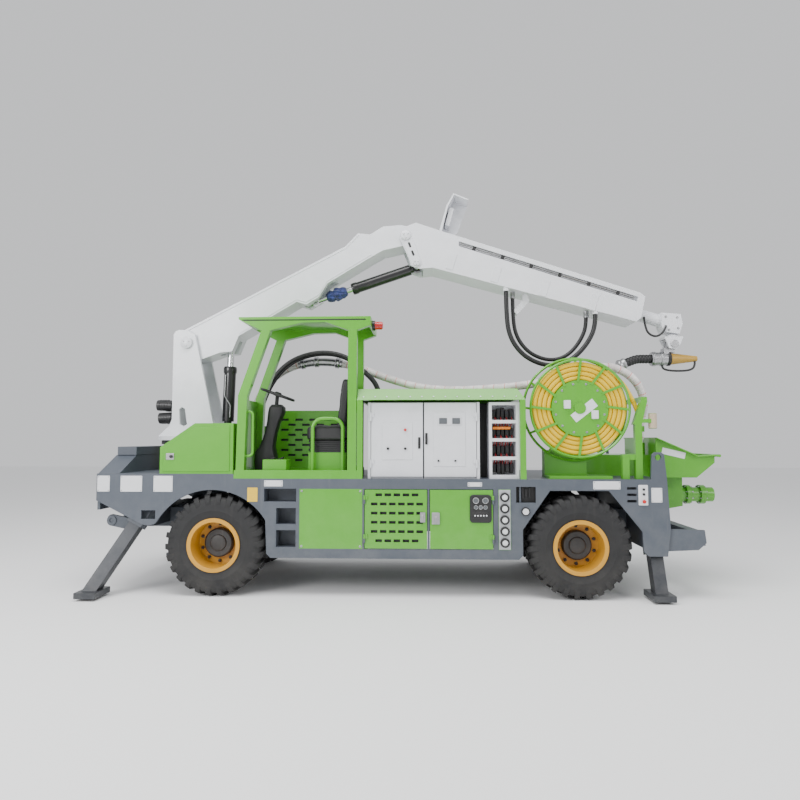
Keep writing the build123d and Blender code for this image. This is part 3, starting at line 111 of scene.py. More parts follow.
def new_mesh(name, nets, smooth=35.0, uv=None):
    """One mesh from nets of points: seams and poles are merged, and closed shells turned to face outwards."""
    starts = np.cumsum([0] + [n.shape[0] * n.shape[1] for n in nets])
    points = np.concatenate([np.asarray(n, float).reshape(-1, 3) for n in nets])
    faces = np.concatenate([net(n.shape) + start for n, start in zip(nets, starts)])
    mesh = bpy.data.meshes.new(name)
    mesh.from_pydata(points.tolist(), [], faces.tolist())
    if uv is not None:
        layer = mesh.uv_layers.new(name="along")
        layer.data.foreach_set("uv", np.asarray(uv, float).reshape(-1, 2)[faces.ravel()].ravel())
    work = bmesh.new()
    work.from_mesh(mesh)
    bmesh.ops.remove_doubles(work, verts=work.verts, dist=2e-5)
    bmesh.ops.dissolve_degenerate(work, edges=work.edges, dist=1e-6)
    bmesh.ops.recalc_face_normals(work, faces=work.faces)
    work.to_mesh(mesh)
    work.free()
    mesh.shade_smooth()
    mesh.set_sharp_from_angle(angle=math.radians(smooth))
    made = bpy.data.objects.new(name, mesh)
    bpy.context.scene.collection.objects.link(made)
    return made


def new_material(name):
    """A material with its node tree and its shader."""
    made = bpy.data.materials.new(name)
    made.use_nodes = True
    return made, made.node_tree, made.node_tree.nodes["Principled BSDF"]


span = np.linspace(-30.0, 30.0, 3)
floor = new_mesh("floor", [np.stack([*np.meshgrid(span, span), np.zeros((3, 3))], -1)])
floor_finish, _, floor_shader = new_material("floor_pale")
floor_shader.inputs["Base Color"].default_value = (0.9, 0.9, 0.9, 1.0)
floor_shader.inputs["Roughness"].default_value = 0.8
floor.data.materials.append(floor_finish)
floor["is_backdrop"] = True

# Chassis. Rails, cross frames and axles are welded steel under dark paint that road dirt dulls from the
# ground up; the deck plates, skirts and bumper are the same steel in slate grey.
dust = bpy.data.node_groups.new("site_dust", "ShaderNodeTree")
for socket, kind, value in (
    ("Coat", "NodeSocketColor", (0.1, 0.1, 0.1, 1.0)),
    ("Dust", "NodeSocketColor", (0.35, 0.33, 0.3, 1.0)),
    ("Clean Height", "NodeSocketFloat", 1.4),
    ("Amount", "NodeSocketFloat", 0.4),
    ("Rough", "NodeSocketFloat", 0.35),
):
    dust.interface.new_socket(socket, in_out="INPUT", socket_type=kind).default_value = value
for socket, kind in (("Color", "NodeSocketColor"), ("Roughness", "NodeSocketFloat"), ("Height", "NodeSocketFloat")):
    dust.interface.new_socket(socket, in_out="OUTPUT", socket_type=kind)


def add_node(tree, kind, inputs=None, **settings):
    """A shader node with its settings; a setting named as an input sets that input, as the inputs table does."""
    made = tree.nodes.new(kind)
    for key, value in settings.items():
        if key in made.inputs:
            made.inputs[key].default_value = value
        else:
            setattr(made, key, value)
    for key, value in (inputs or {}).items():
        made.inputs[key].default_value = value
    return made


def wire(tree, *pairs):
    """Links each node's output to another node's input."""
    for source, output, target, socket in pairs:
        tree.links.new(source.outputs[output], target.inputs[socket])


given, result = add_node(dust, "NodeGroupInput"), add_node(dust, "NodeGroupOutput")
where, split = add_node(dust, "ShaderNodeTexCoord"), add_node(dust, "ShaderNodeSeparateXYZ")
rise = add_node(dust, "ShaderNodeMapRange", {"From Min": 0.0, "To Min": 1.0, "To Max": 0.06})
smear = add_node(dust, "ShaderNodeTexNoise", Scale=5.5, Detail=8.0, Roughness=0.68)
fleck = add_node(dust, "ShaderNodeTexNoise", Scale=42.0, Detail=4.0, Roughness=0.6)
patchy = add_node(dust, "ShaderNodeMapRange", {"From Min": 0.32, "From Max": 0.78})
mask = add_node(dust, "ShaderNodeMath", operation="MULTIPLY")
stretch = add_node(dust, "ShaderNodeMapping", {"Scale": (16.0, 16.0, 1.3)})
runs = add_node(dust, "ShaderNodeTexNoise", Scale=1.0, Detail=4.0, Roughness=0.55)
drip = add_node(dust, "ShaderNodeMapRange", {"From Min": 0.56, "From Max": 0.8, "To Max": 0.5})
either = add_node(dust, "ShaderNodeMath", operation="MAXIMUM")
share = add_node(dust, "ShaderNodeMath", operation="MULTIPLY")
tone = add_node(dust, "ShaderNodeMapRange", {"To Min": 0.88, "To Max": 1.1})
shade = add_node(dust, "ShaderNodeVectorMath", operation="SCALE")
film = add_node(dust, "ShaderNodeMix", data_type="RGBA")
dull = add_node(dust, "ShaderNodeMath", {1: 0.45}, operation="MULTIPLY_ADD")
ripple = add_node(dust, "ShaderNodeMath", {1: 0.08}, operation="MULTIPLY_ADD")
wire(
    dust,
    (where, "Object", split, 0), (split, "Z", rise, "Value"), (given, "Clean Height", rise, "From Max"),
    (where, "Object", smear, "Vector"), (where, "Object", fleck, "Vector"), (smear, "Fac", patchy, "Value"),
    (patchy, "Result", mask, 0), (rise, "Result", mask, 1), (where, "Object", stretch, "Vector"),
    (stretch, "Vector", runs, "Vector"), (runs, "Fac", drip, "Value"), (mask, "Value", either, 0),
    (drip, "Result", either, 1), (either, "Value", share, 0), (given, "Amount", share, 1),
    (smear, "Fac", tone, "Value"), (given, "Coat", shade, 0), (tone, "Result", shade, "Scale"),
    (share, "Value", film, "Factor"), (shade, 0, film, 6), (given, "Dust", film, 7), (film, 2, result, "Color"),
    (share, "Value", dull, 0), (given, "Rough", dull, 2), (fleck, "Fac", ripple, 0), (dull, "Value", ripple, 2),
    (ripple, "Value", result, "Roughness"), (fleck, "Fac", result, "Height"),
)


def finish_of(name, colour, rough, height=1.4, amount=0.35, grime=(0.36, 0.34, 0.31), edge=0.005, bump=0.15,
              metal=0.0, clear=0.0):
    """A coat of paint, rubber or bare metal: dust over a colour, and edges rounded by a small radius."""
    made, tree, shader = new_material(name)
    shader.inputs["Metallic"].default_value = metal
    shader.inputs["Coat Weight"].default_value = clear
    shader.inputs["Coat Roughness"].default_value = 0.08
    group = add_node(tree, "ShaderNodeGroup", {
        "Coat": (*colour, 1.0), "Dust": (*grime, 1.0), "Clean Height": height, "Amount": amount, "Rough": rough,
    }, node_tree=dust)
    relief = add_node(tree, "ShaderNodeBump", Strength=bump, Distance=0.002)
    wire(tree, (group, "Color", shader, "Base Color"), (group, "Roughness", shader, "Roughness"),
         (group, "Height", relief, "Height"), (relief, "Normal", shader, "Normal"))
    if edge:
        rounded = add_node(tree, "ShaderNodeBevel", samples=4, Radius=edge)
        wire(tree, (rounded, "Normal", relief, "Normal"))
    return made


def coat(material, *names):
    """Puts one finish on CAD nodes."""
    for name in names:
        nodes[name].data.materials.clear()
        nodes[name].data.materials.append(material)


dark_paint = finish_of("dark_frame_paint", (0.02, 0.021, 0.024), 0.5, 1.2, 0.35)
slate_paint = finish_of("slate_paint", (0.07, 0.083, 0.105), 0.4, 1.5, 0.2)
coat(dark_paint, "axles", "knuckle_left", "knuckle_right", "pedestal")
coat(slate_paint, "chassis_frame", "deck", "skirts", "nose_cowl")

# Tyres. Off-road tyres with deep shoulder lugs, staggered from one side to the other; the carcass is
# one closed rubber surface on which the lugs rise, over a flange-held rim.
LUGS, LUG_SHEAR = 26, 0.5
TYRE_ROWS = np.array([
    # carcass radius, carcass half width, lug radius, lug half width
    (0.5090, 0.0000, 0.5090, 0.0000), (0.5090, 0.0110, 0.5090, 0.0110), (0.5090, 0.0130, 0.5374, 0.0130),
    (0.5088, 0.0700, 0.5374, 0.0700), (0.5075, 0.1250, 0.5364, 0.1300), (0.5040, 0.1550, 0.5310, 0.1580),
    (0.4950, 0.1750, 0.5160, 0.1830), (0.4800, 0.1880, 0.4950, 0.1940), (0.4580, 0.1955, 0.4640, 0.2000),
    (0.4340, 0.1985, 0.4360, 0.2010), (0.4320, 0.1990, 0.4320, 0.1990), (0.4070, 0.2015, 0.4070, 0.2015),
    (0.3700, 0.2005, 0.3700, 0.2005), (0.3640, 0.2025, 0.3640, 0.2025), (0.3570, 0.2000, 0.3570, 0.2000),
    (0.3250, 0.1950, 0.3250, 0.1950), (0.2950, 0.1890, 0.2950, 0.1890), (0.2870, 0.1880, 0.2870, 0.1880),
    (0.2560, 0.1800, 0.2560, 0.1800),
])
PLACES, SIDES = ("front", "rear"), {"left": -1.0, "right": 1.0}
pivots = {joint["name"]: np.array(joint["pos_m"]) for joint in frame["joints"] if joint.get("pos_m")}


def tyre_net(centre):
    """Rows run from bead to bead, and rows in the tread rise to the lug's radius where the angle is inside a lug."""
    part = np.array([-0.25, -0.215, 0.0, 0.215, 0.25, 0.285, 0.5, 0.715])
    turn = np.append((np.arange(LUGS)[:, None] + part[None]).ravel(), LUGS - 0.25)
    on_near = np.append(np.tile([0, 1, 1, 1, 0, 0, 0, 0], LUGS), 0)[:, None, None] > 0
    on_far = np.append(np.tile([0, 0, 0, 0, 0, 1, 1, 1], LUGS), 0)[:, None, None] > 0
    near = np.where(on_near, TYRE_ROWS[None, :, 2:], TYRE_ROWS[None, :, :2])
    far = np.where(on_far, TYRE_ROWS[None, :, 2:], TYRE_ROWS[None, :, :2])[:, :0:-1]
    radius = np.concatenate([far[..., 0], near[..., 0], far[:, :1, 0]], 1)
    width = np.concatenate([far[..., 1], -near[..., 1], far[:, :1, 1]], 1)
    angle = turn[:, None] * 2 * np.pi / LUGS + LUG_SHEAR * np.minimum(np.abs(width), 0.2)
    return np.stack([
        centre[0] + radius * np.sin(angle), centre[1] + width, centre[2] + radius * np.cos(angle)
    ], -1)


def piece(name, nets, material, body, smooth=35.0):
    """A finished piece from nets of points, with its finish, riding on a body."""
    made = new_mesh(name, nets, smooth)
    made.data.materials.append(material)
    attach(made, body)
    return made


tyre_rubber = finish_of("tyre_rubber", (0.014, 0.014, 0.015), 0.72, 0.8, 0.3, grime=(0.14, 0.13, 0.115), edge=0.0,
                        bump=0.35)
for place in PLACES:
    for hand in SIDES:
        tyre = piece(f"tyre_skin_{place}_{hand}", [tyre_net(pivots[f"{place}_wheel_{hand}"])], tyre_rubber,
                     f"wheel_{place}_{hand}", 32.0)
        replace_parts(tyre, f"tyre_{place}_{hand}")

# Rims and hubs. Pressed steel rims in orange-yellow paint, each bolted by ten nuts to a dark cast hub
# with a domed cap.
AXES = {"x": (1, 2, 0), "y": (0, 2, 1), "z": (0, 1, 2)}


def turned(profile, centre, axis="y", around=48):
    """A surface turned about an axis: (radius, offset along the axis) points carried round the centre."""
    profile = np.asarray(profile, float)
    t = np.linspace(0, 2 * np.pi, around + 1)
    first, second, along = AXES[axis]
    made = np.zeros((around + 1, len(profile), 3))
    made[..., first] = centre[first] + profile[None, :, 0] * np.cos(t)[:, None]
    made[..., second] = centre[second] + profile[None, :, 0] * np.sin(t)[:, None]
    made[..., along] = centre[along] + profile[None, :, 1]
    return made


rim_paint = finish_of("rim_paint", (0.57, 0.28, 0.016), 0.36, 0.9, 0.2, grime=(0.3, 0.26, 0.2))
hub_iron = finish_of("hub_iron", (0.018, 0.018, 0.02), 0.42, 0.9, 0.25)
HUB = np.array([
    (0.0, 0.022), (0.07, 0.021), (0.084, 0.016), (0.09, 0.004), (0.142, 0.003), (0.156, -0.012), (0.157, -0.066),
    (0.168, -0.067), (0.168, -0.071), (0.0, -0.071),
])
NUT = np.array([(0.0, 0.03), (0.008, 0.029), (0.012, 0.02), (0.019, 0.018), (0.019, 0.0), (0.0, 0.0)])
NUTS, NUT_CIRCLE, NUT_FACE, HUB_FACE = 10, 0.2, 0.825, 0.89


def round_circle(count, radius):
    """Pairs of offsets to places spread evenly on a circle, from half a step on."""
    turn = 2 * np.pi * (np.arange(count) + 0.5) / count
    return radius * np.stack([np.cos(turn), np.sin(turn)], 1)


coat(rim_paint, *[f"rim_{place}_{hand}" for place in PLACES for hand in SIDES])
for place in PLACES:
    for hand, out in SIDES.items():
        axle = pivots[f"{place}_wheel_{hand}"]
        outward = np.array((1.0, out))
        nets = [turned(HUB * outward, (axle[0], out * HUB_FACE, axle[2]))]
        nets += [turned(NUT * outward, (axle[0] + dx, out * NUT_FACE, axle[2] + dz), around=6)
                 for dx, dz in round_circle(NUTS, NUT_CIRCLE)]
        piece(f"hub_{place}_{hand}", nets, hub_iron, f"wheel_{place}_{hand}", 28.0)

# Outriggers. Square tubes in slate paint hold sliding legs of dark greased steel; the front tubes carry
# a drilled towing ear on their outer side.
leg_steel = finish_of("leg_steel", (0.04, 0.044, 0.052), 0.3, 0.9, 0.2, metal=0.3, bump=0.25)
coat(slate_paint, "outrigger_housings")
coat(leg_steel, "leg_front_left", "leg_front_right", "leg_rear_left", "leg_rear_right")


def rounded_plate(mid, u, v, half_u, half_v, depth, corner=0.01, bevel=0.002, bend=5):
    """A plate on the plane of u and v: a rounded rectangle carried along its normal, drawn in at the front edge."""
    u, v = np.asarray(u, float), np.asarray(v, float)
    u, v = u / np.linalg.norm(u), v / np.linalg.norm(v)
    out = np.cross(u, v)
    quarter = np.linspace(0, np.pi / 2, bend + 1)
    turn = np.concatenate([quarter + k * np.pi / 2 for k in range(4)])
    sign_u = np.repeat([1, -1, -1, 1], bend + 1)
    sign_v = np.repeat([1, 1, -1, -1], bend + 1)
    rows = []
    for rise_to, drawn in ((0.0, None), (0.0, 0.0), (depth - bevel, 0.0), (depth, bevel), (depth, None)):
        if drawn is None:
            edge = np.zeros((len(turn) + 1, 3))
        else:
            a = sign_u * (half_u - corner) + (corner - drawn) * np.cos(turn)
            b = sign_v * (half_v - corner) + (corner - drawn) * np.sin(turn)
            edge = np.append(a, a[0])[:, None] * u + np.append(b, b[0])[:, None] * v
        rows.append(np.asarray(mid, float) + edge + rise_to * out)
    return np.stack(rows)


ear_u = np.array((-0.98, 0.0, 0.2))
EAR_RING = np.array([(0.052, 0.0), (0.052, 0.042), (0.024, 0.042), (0.024, 0.0), (0.052, 0.0)])
EAR_BACK = np.array([(0.0, 0.033), (0.024, 0.033), (0.024, 0.028), (0.0, 0.028)])
EAR_Y = 0.9
for hand, out in SIDES.items():
    hole = (-3.318, out * EAR_Y, 0.778)
    ear = [rounded_plate((-3.225, out * EAR_Y, 0.76), ear_u * out, (0.2, 0, 0.98), 0.15, 0.062, 0.03, 0.05, 0.004, 8)]
    ear += [turned(ring * (1.0, out), hole, around=32) for ring in (EAR_RING, EAR_BACK)]
    piece(f"towing_ear_{hand}", ear, slate_paint, "chassis")

# Skirt fittings. Blank data plates are riveted to the skirts; a gauge recess and a switch box sit by the
# rear arch, and a small round gauge below the recess.
PLATE_GRIME = (0.42, 0.41, 0.4)
plate_white = finish_of("plate_white", (0.72, 0.73, 0.75), 0.3, 1.4, 0.25, PLATE_GRIME, edge=0.0, bump=0.05)
plate_yellow = finish_of("plate_yellow", (0.78, 0.5, 0.02), 0.35, 1.4, 0.25, PLATE_GRIME, edge=0.0, bump=0.05)
black_plastic = finish_of("black_plastic", (0.011, 0.011, 0.012), 0.45, 1.6, 0.08, bump=0.25)
signal_red = finish_of("signal_red", (0.55, 0.012, 0.01), 0.3, 1.4, 0.1, edge=0.0, bump=0.05)
steel = finish_of("worn_steel", (0.42, 0.42, 0.43), 0.3, 1.0, 0.1, metal=1.0)
LEFT = ((1, 0, 0), (0, 0, 1))  # the two directions of a plate that faces the left side
SKIRT_Y = -round(float(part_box("skirts")[1][1]), 4)
RIVET = np.array([(0.0, -0.005), (0.004, -0.004), (0.006, -0.001), (0.006, 0.001), (0.0, 0.001)])
PLATES = [
    # middle X, middle Z, half width, half height
    (-3.372, 1.182, 0.068, 0.085), (-3.066, 1.182, 0.118, 0.085), (-2.718, 1.182, 0.104, 0.085),
    (-1.52, 1.19, 0.1, 0.032), (0.62, 1.185, 0.075, 0.022), (1.99, 1.18, 0.14, 0.042), (2.5, 1.08, 0.055, 0.075),
]
PLATE_THICK, RIVET_IN = 0.003, 0.012
plates, rivets = [], []
for x, z, half_u, half_v in PLATES:
    plates.append(rounded_plate((x, SKIRT_Y, z), *LEFT, half_u, half_v, PLATE_THICK, 0.006, 0.001))
    for su in (-1, 1):
        for sv in (-1, 1):
            spot = (x + su * (half_u - RIVET_IN), SKIRT_Y - PLATE_THICK, z + sv * (half_v - RIVET_IN))
            rivets.append(turned(RIVET, spot, around=10))
piece("data_plates", plates, plate_white, "chassis")
piece("data_plate_rivets", rivets, steel, "chassis")
step_plate = [rounded_plate((-1.745, SKIRT_Y, 1.07), *LEFT, 0.055, 0.075, PLATE_THICK, 0.008, 0.001)]
piece("step_plate", step_plate, plate_yellow, "chassis")
RECESS_Y, RECESS_THICK = -0.955, 0.012
recess = [rounded_plate((1.153, RECESS_Y, 1.078), *LEFT, 0.14, 0.12, RECESS_THICK, 0.01, 0.002)]
for k, (w, h) in enumerate(((0.012, 0.05), (0.01, 0.06), (0.012, 0.045), (0.01, 0.055))):
    place = (1.09 + 0.036 * k, RECESS_Y - RECESS_THICK, 1.095)
    recess.append(rounded_plate(place, *LEFT, w, h, 0.018, 0.004, 0.002))
piece("gauge_recess_back", recess, black_plastic, "chassis")
GAUGE_BODY = np.array([
    (0.0, -0.014), (0.033, -0.014), (0.036, -0.02), (0.042, -0.02), (0.044, -0.014), (0.044, 0.0), (0.0, 0.0),
])
GAUGE_FACE = np.array([(0.0, -0.0165), (0.033, -0.0165), (0.033, -0.013), (0.0, -0.013)])
gauge_at = (1.147, SKIRT_Y, 0.905)
piece("skirt_gauge", [turned(GAUGE_BODY, gauge_at)], black_plastic, "chassis")
piece("skirt_gauge_face", [turned(GAUGE_FACE, gauge_at)], plate_white, "chassis")
SWITCH_X, SWITCH_THICK = 2.36, 0.012
switch = [rounded_plate((SWITCH_X, SKIRT_Y, 1.08), *LEFT, 0.048, 0.105, SWITCH_THICK, 0.008, 0.003)]
piece("switch_plate", switch, plate_white, "chassis")
KNOB = np.array([
    (0.0, -0.035), (0.014, -0.034), (0.019, -0.028), (0.019, -0.02), (0.012, -0.016), (0.012, 0.0), (0.0, 0.0),
])
switch_face = SKIRT_Y - SWITCH_THICK
piece("switch_knob", [turned(KNOB, (SWITCH_X, switch_face, 1.015), around=28)], signal_red, "chassis")
keys = [turned(KNOB * (0.7, 0.6), (SWITCH_X, switch_face, z), around=20) for z in (1.09, 1.14)]
piece("switch_keys", keys, black_plastic, "chassis")

# Side panels and doors. Sheet steel in glossy apple green: a fixed panel bolted at its corners, a slotted
# vent door and a tool door on lift-off hinges, both with steel latches; the tool door carries a black
# instrument panel.
green_paint = finish_of("green_paint", (0.085, 0.36, 0.014), 0.28, 1.8, 0.1, clear=0.3)
coat(green_paint, "skirt_panels", "vent_door_left", "tool_door_left")
BOLT = np.array([
    (0.0, -0.009), (0.008, -0.009), (0.0095, -0.007), (0.0095, -0.002), (0.014, -0.002), (0.014, 0.0), (0.0, 0.0),
])
corner_bolts = [turned(BOLT, (x, SKIRT_Y, z), around=6) for x in (-1.215, -0.59) for z in (0.53, 1.11)]
piece("panel_bolts", corner_bolts, steel, "chassis", 28.0)
DOOR_Y, LATCH_THICK = SKIRT_Y - 0.014, 0.006
key_y = DOOR_Y - LATCH_THICK
vent_latch = [rounded_plate((0.071, DOOR_Y, 0.84), *LEFT, 0.028, 0.052, LATCH_THICK, 0.006, 0.002)]
vent_latch.append(rounded_plate((0.071, key_y, 0.83), *LEFT, 0.009, 0.032, 0.01, 0.004, 0.002))
piece("vent_door_latch", vent_latch, steel, "vent_door")
# Painted shade: a black sheet just behind the vent door's slots makes the inside seen through them dark.
vent_shade_sheet = [rounded_plate((-0.22, -0.9955, 0.82), *LEFT, 0.3, 0.27, 0.004, 0.01, 0.001)]
piece("vent_baffle", vent_shade_sheet, black_plastic, "vent_door")
tool_latch = [rounded_plate((0.2083, DOOR_Y, 0.83), *LEFT, 0.042, 0.062, LATCH_THICK, 0.006, 0.002)]
tool_latch.append(rounded_plate((0.2083, key_y, 0.815), *LEFT, 0.011, 0.034, 0.012, 0.004, 0.002))
piece("tool_door_latch", tool_latch, steel, "tool_door")
DIAL_X, DIAL_Z, PANEL_THICK, PAD_THICK = 0.6783, 0.9325, 0.016, 0.004
panel_y, pad_z = SKIRT_Y - PANEL_THICK, DIAL_Z - 0.07
panel = [rounded_plate((DIAL_X, SKIRT_Y, DIAL_Z), *LEFT, 0.114, 0.146, PANEL_THICK, 0.035, 0.005, 8)]
panel.append(rounded_plate((DIAL_X, panel_y, pad_z), *LEFT, 0.085, 0.035, PAD_THICK, 0.006, 0.002))
piece("instrument_panel", panel, black_plastic, "tool_door")
dials, faces = [], []
DIALS = ((-0.05, 0.085, 0.75), (0.05, 0.085, 0.75), (-0.05, 0.015, 0.5), (0.0, 0.015, 0.5), (0.05, 0.015, 0.5))
for x, z, size in DIALS:
    dials.append(turned(GAUGE_BODY * (size, 0.4), (DIAL_X + x, panel_y, DIAL_Z + z)))
    faces.append(turned(GAUGE_FACE * (size, 0.4), (DIAL_X + x, panel_y, DIAL_Z + z)))
piece("dial_rims", dials, steel, "tool_door")
dial_face = finish_of("dial_face", (0.1, 0.11, 0.12), 0.3, 1.0, 0.1, edge=0.0, bump=0.05)
piece("dial_faces", faces, dial_face, "tool_door")
buttons = [turned(KNOB * (0.45, 0.35), (DIAL_X - 0.06 + 0.03 * k, panel_y - PAD_THICK, pad_z), around=16)
           for k in range(5)]
piece("panel_keys", buttons, plate_white, "tool_door")

# Coupling strip. A bare aluminium plate bolted upright behind the doors, with five moulded quick couplings
# screwed into it, each closed by a white push-in cap.
alloy = finish_of("alloy_plate", (0.5, 0.51, 0.53), 0.4, 1.4, 0.15, metal=0.6, bump=0.2)
STRIP_X = 0.9293
strip = [rounded_plate((STRIP_X, SKIRT_Y, 0.8195), *LEFT, 0.06, 0.31, 0.004, 0.006, 0.0015)]
piece("coupling_plate", strip, alloy, "chassis")
COUPLING = np.array([
    (0.0, -0.024), (0.03, -0.024), (0.033, -0.03), (0.045, -0.03), (0.049, -0.026), (0.049, 0.0), (0.0, 0.0),
])
COUPLING_CAP = np.array([(0.0, -0.028), (0.024, -0.0275), (0.029, -0.025), (0.029, -0.023), (0.0, -0.023)])
spots = [(STRIP_X, SKIRT_Y, 0.581 + 0.118 * k) for k in range(5)]
piece("couplings", [turned(COUPLING, s) for s in spots], black_plastic, "chassis")
piece("coupling_caps", [turned(COUPLING_CAP, s) for s in spots], plate_white, "chassis")

# Fender boxes. Folded green sheet-steel boxes bolted to the deck on both sides of the turret, each with a
# lid set inside a folded edge; the left lid is held by a steel turn latch.
coat(green_paint, "fender_boxes")


def lid_on_side(outline, y, way, depth, inset, bevel=0.003):
    """A flat lid from an outline in X and Z: drawn in from the outline towards its middle, then raised along Y."""
    flat = np.asarray(outline, float)
    flat = np.vstack([flat, flat[:1]])
    middle = flat[:-1].mean(0)
    away = flat - middle
    size = np.linalg.norm(away, axis=1, keepdims=True)
    rows = []
    for rise_to, drawn in ((0.0, None), (0.0, inset), (depth - bevel, inset), (depth, inset + bevel), (depth, None)):
        ring = middle + (0 * away if drawn is None else away * (1 - drawn / size))
        rows.append(np.stack([ring[:, 0], np.full(len(ring), y + way * rise_to), ring[:, 1]], 1))
    return np.stack(rows)


(front, _, foot), (back, _, top) = (np.round(np.array(end, float), 4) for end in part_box("fender_boxes"))
SLOPE_LONG, SLOPE_DROP, LID_THICK = 0.378, 0.259, 0.008
FENDER = [(front, foot), (back, foot), (back, top), (front + SLOPE_LONG, top), (front, top - SLOPE_DROP)]
lids = [lid_on_side(FENDER, -way * SKIRT_Y, way, LID_THICK, 0.045) for way in (-1.0, 1.0)]
piece("fender_lids", lids, green_paint, "chassis", 25.0)
lid_y, LATCH_Z = SKIRT_Y - LID_THICK, 1.475
lid_latch = [rounded_plate((-2.645, lid_y, LATCH_Z), *LEFT, 0.045, 0.036, LID_THICK, 0.008, 0.003)]
piece("fender_latch", lid_latch, steel, "chassis")
latch_key = [turned(KNOB * (0.9, 0.4), (-2.63, lid_y - LID_THICK, LATCH_Z), around=24)]
piece("fender_latch_key", latch_key, black_plastic, "chassis")

# Cab. Welded square posts, a canopy with arched valances and a slotted inner wall, all in the same green.
# The canopy's side has a rubber strip pressed into its groove, the wall a dark lining on its back, and a
# box bolted to the floor holds two pedals.
coat(green_paint, "cab_frame", "cab_roof", "cab_walls")
strip_rubber = [rounded_plate((-1.203, -1.0225, 2.95), *LEFT, 0.668, 0.0065, 0.009, 0.004, 0.001)]
piece("canopy_strip", strip_rubber, black_plastic, "chassis")
lining = [rounded_plate((-1.2175, -0.229, 1.66), *LEFT, 0.475, 0.31, 0.011, 0.01, 0.002)]
piece("cab_wall_lining", lining, black_plastic, "chassis")
pedal_box = [rounded_plate((-1.53, -0.86, 1.33), (1, 0, 0), (0, 1, 0), 0.13, 0.1, 0.11, 0.008, 0.004)]
piece("pedal_box", pedal_box, green_paint, "chassis")
pedals = [rounded_plate((-1.57 + 0.09 * k, -0.86, 1.44), (0.9, 0, 0.4), (0, 1, 0), 0.035, 0.045, 0.014, 0.01, 0.003)
          for k in range(2)]
piece("pedals", pedals, black_plastic, "chassis")

# Seat. A foam seat and backrest in black grained vinyl with sewn channels, on a ribbed rubber
# suspension box that is bolted to the cab floor's stand.
vinyl = finish_of("seat_vinyl", (0.012, 0.012, 0.013), 0.5, 2.4, 0.06, edge=0.0, bump=0.45)


def cushion(centre, half, tilt=0.0, crown=0.12, channels=3, power=0.32, n=64):
    """A crowned closed pad: a superellipsoid whose top rises to a crown, with sewn channels across its face."""
    lat = np.linspace(-np.pi / 2, np.pi / 2, n)[:, None]
    lon = np.linspace(-np.pi, np.pi, 2 * n + 1)[None, :]

    def pull(wave):
        return np.sign(wave) * np.abs(wave) ** power

    x = pull(np.cos(lat)) * pull(np.cos(lon)) * half[0]
    y = pull(np.cos(lat)) * pull(np.sin(lon)) * half[1]
    z = pull(np.sin(lat)) * half[2] + 0 * lon
    swell = 1 + crown * (1 - (x / half[0]) ** 2) * (1 - (y / half[1]) ** 2)
    groove = 1 - 0.09 * np.exp(-((np.mod(x / half[0] * channels / 2 + 0.5, 1) - 0.5) / 0.06) ** 2)
    z = z * np.where(z > 0, swell * groove, 1.0)
    c, s = math.cos(tilt), math.sin(tilt)
    return np.stack([centre[0] + c * x + s * z, centre[1] + y, centre[2] - s * x + c * z], -1)


SEAT_Y, BACK_LEAN = pivots["steering_wheel_turn"][1], math.radians(-84)
seat_net = cushion((-0.975, SEAT_Y, 1.725), (0.235, 0.235, 0.08), 0.0, 0.2)
back_net = cushion((-0.80, SEAT_Y, 2.02), (0.31, 0.215, 0.05), BACK_LEAN, 0.25, 4)
seat_pad, back_pad = new_mesh("seat_pad", [seat_net], 60.0), new_mesh("back_pad", [back_net], 60.0)
for pad, fill in ((seat_pad, 0.75), (back_pad, 0.7)):
    pad.data.materials.append(vinyl)
    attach(pad, "chassis")
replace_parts(seat_pad, "seat")
bellows = []
for k in range(6):
    low = 1.515 + 0.022 * k
    wide = 0.2 + 0.012 * (k % 2)
    bellows.append(rounded_plate((-0.975, SEAT_Y, low), (1, 0, 0), (0, 1, 0), wide, 0.2, 0.022, 0.03, 0.006))
piece("seat_bellows", bellows, black_plastic, "chassis")

# Steering column and wheel. A moulded black column bolted to the cab floor, wide at its foot and bulged
# under the wheel, and a round-rimmed wheel with three flat spokes on a steel shaft.


def column_net(sections, y, corner=0.45, around=40):
    """Rounded rectangles (X, Z, half X, half Y) stacked along a rising line at y and closed at both ends."""
    t = np.linspace(0, 2 * np.pi, around + 1)
    ring_x = np.sign(np.cos(t)) * np.abs(np.cos(t)) ** corner
    ring_y = np.sign(np.sin(t)) * np.abs(np.sin(t)) ** corner
    sections = np.asarray(sections, float)
    sections = np.vstack([sections[:1] * (1, 1, 0, 0), sections, sections[-1:] * (1, 1, 0, 0)])
    x = sections[:, 0, None] + sections[:, 2, None] * ring_x
    across = y + sections[:, 3, None] * ring_y
    return np.stack([x, across, np.broadcast_to(sections[:, 1, None], x.shape)], -1)


COLUMN = [
    (-1.70, 1.272, 0.12, 0.105), (-1.70, 1.47, 0.12, 0.105), (-1.705, 1.52, 0.112, 0.1), (-1.69, 1.57, 0.084, 0.088),
    (-1.665, 1.66, 0.07, 0.08), (-1.64, 1.76, 0.066, 0.078), (-1.615, 1.86, 0.072, 0.082), (-1.6, 1.91, 0.082, 0.09),
    (-1.585, 1.97, 0.09, 0.094), (-1.58, 2.02, 0.084, 0.09), (-1.585, 2.052, 0.055, 0.06),
]
wheel_hub = pivots["steering_wheel_turn"]
tilt = math.radians(20.0)
wheel_up = np.array((math.sin(tilt), 0.0, math.cos(tilt)))
wheel_u = np.array((0.0, 1.0, 0.0))
wheel_v = np.cross(wheel_up, wheel_u)


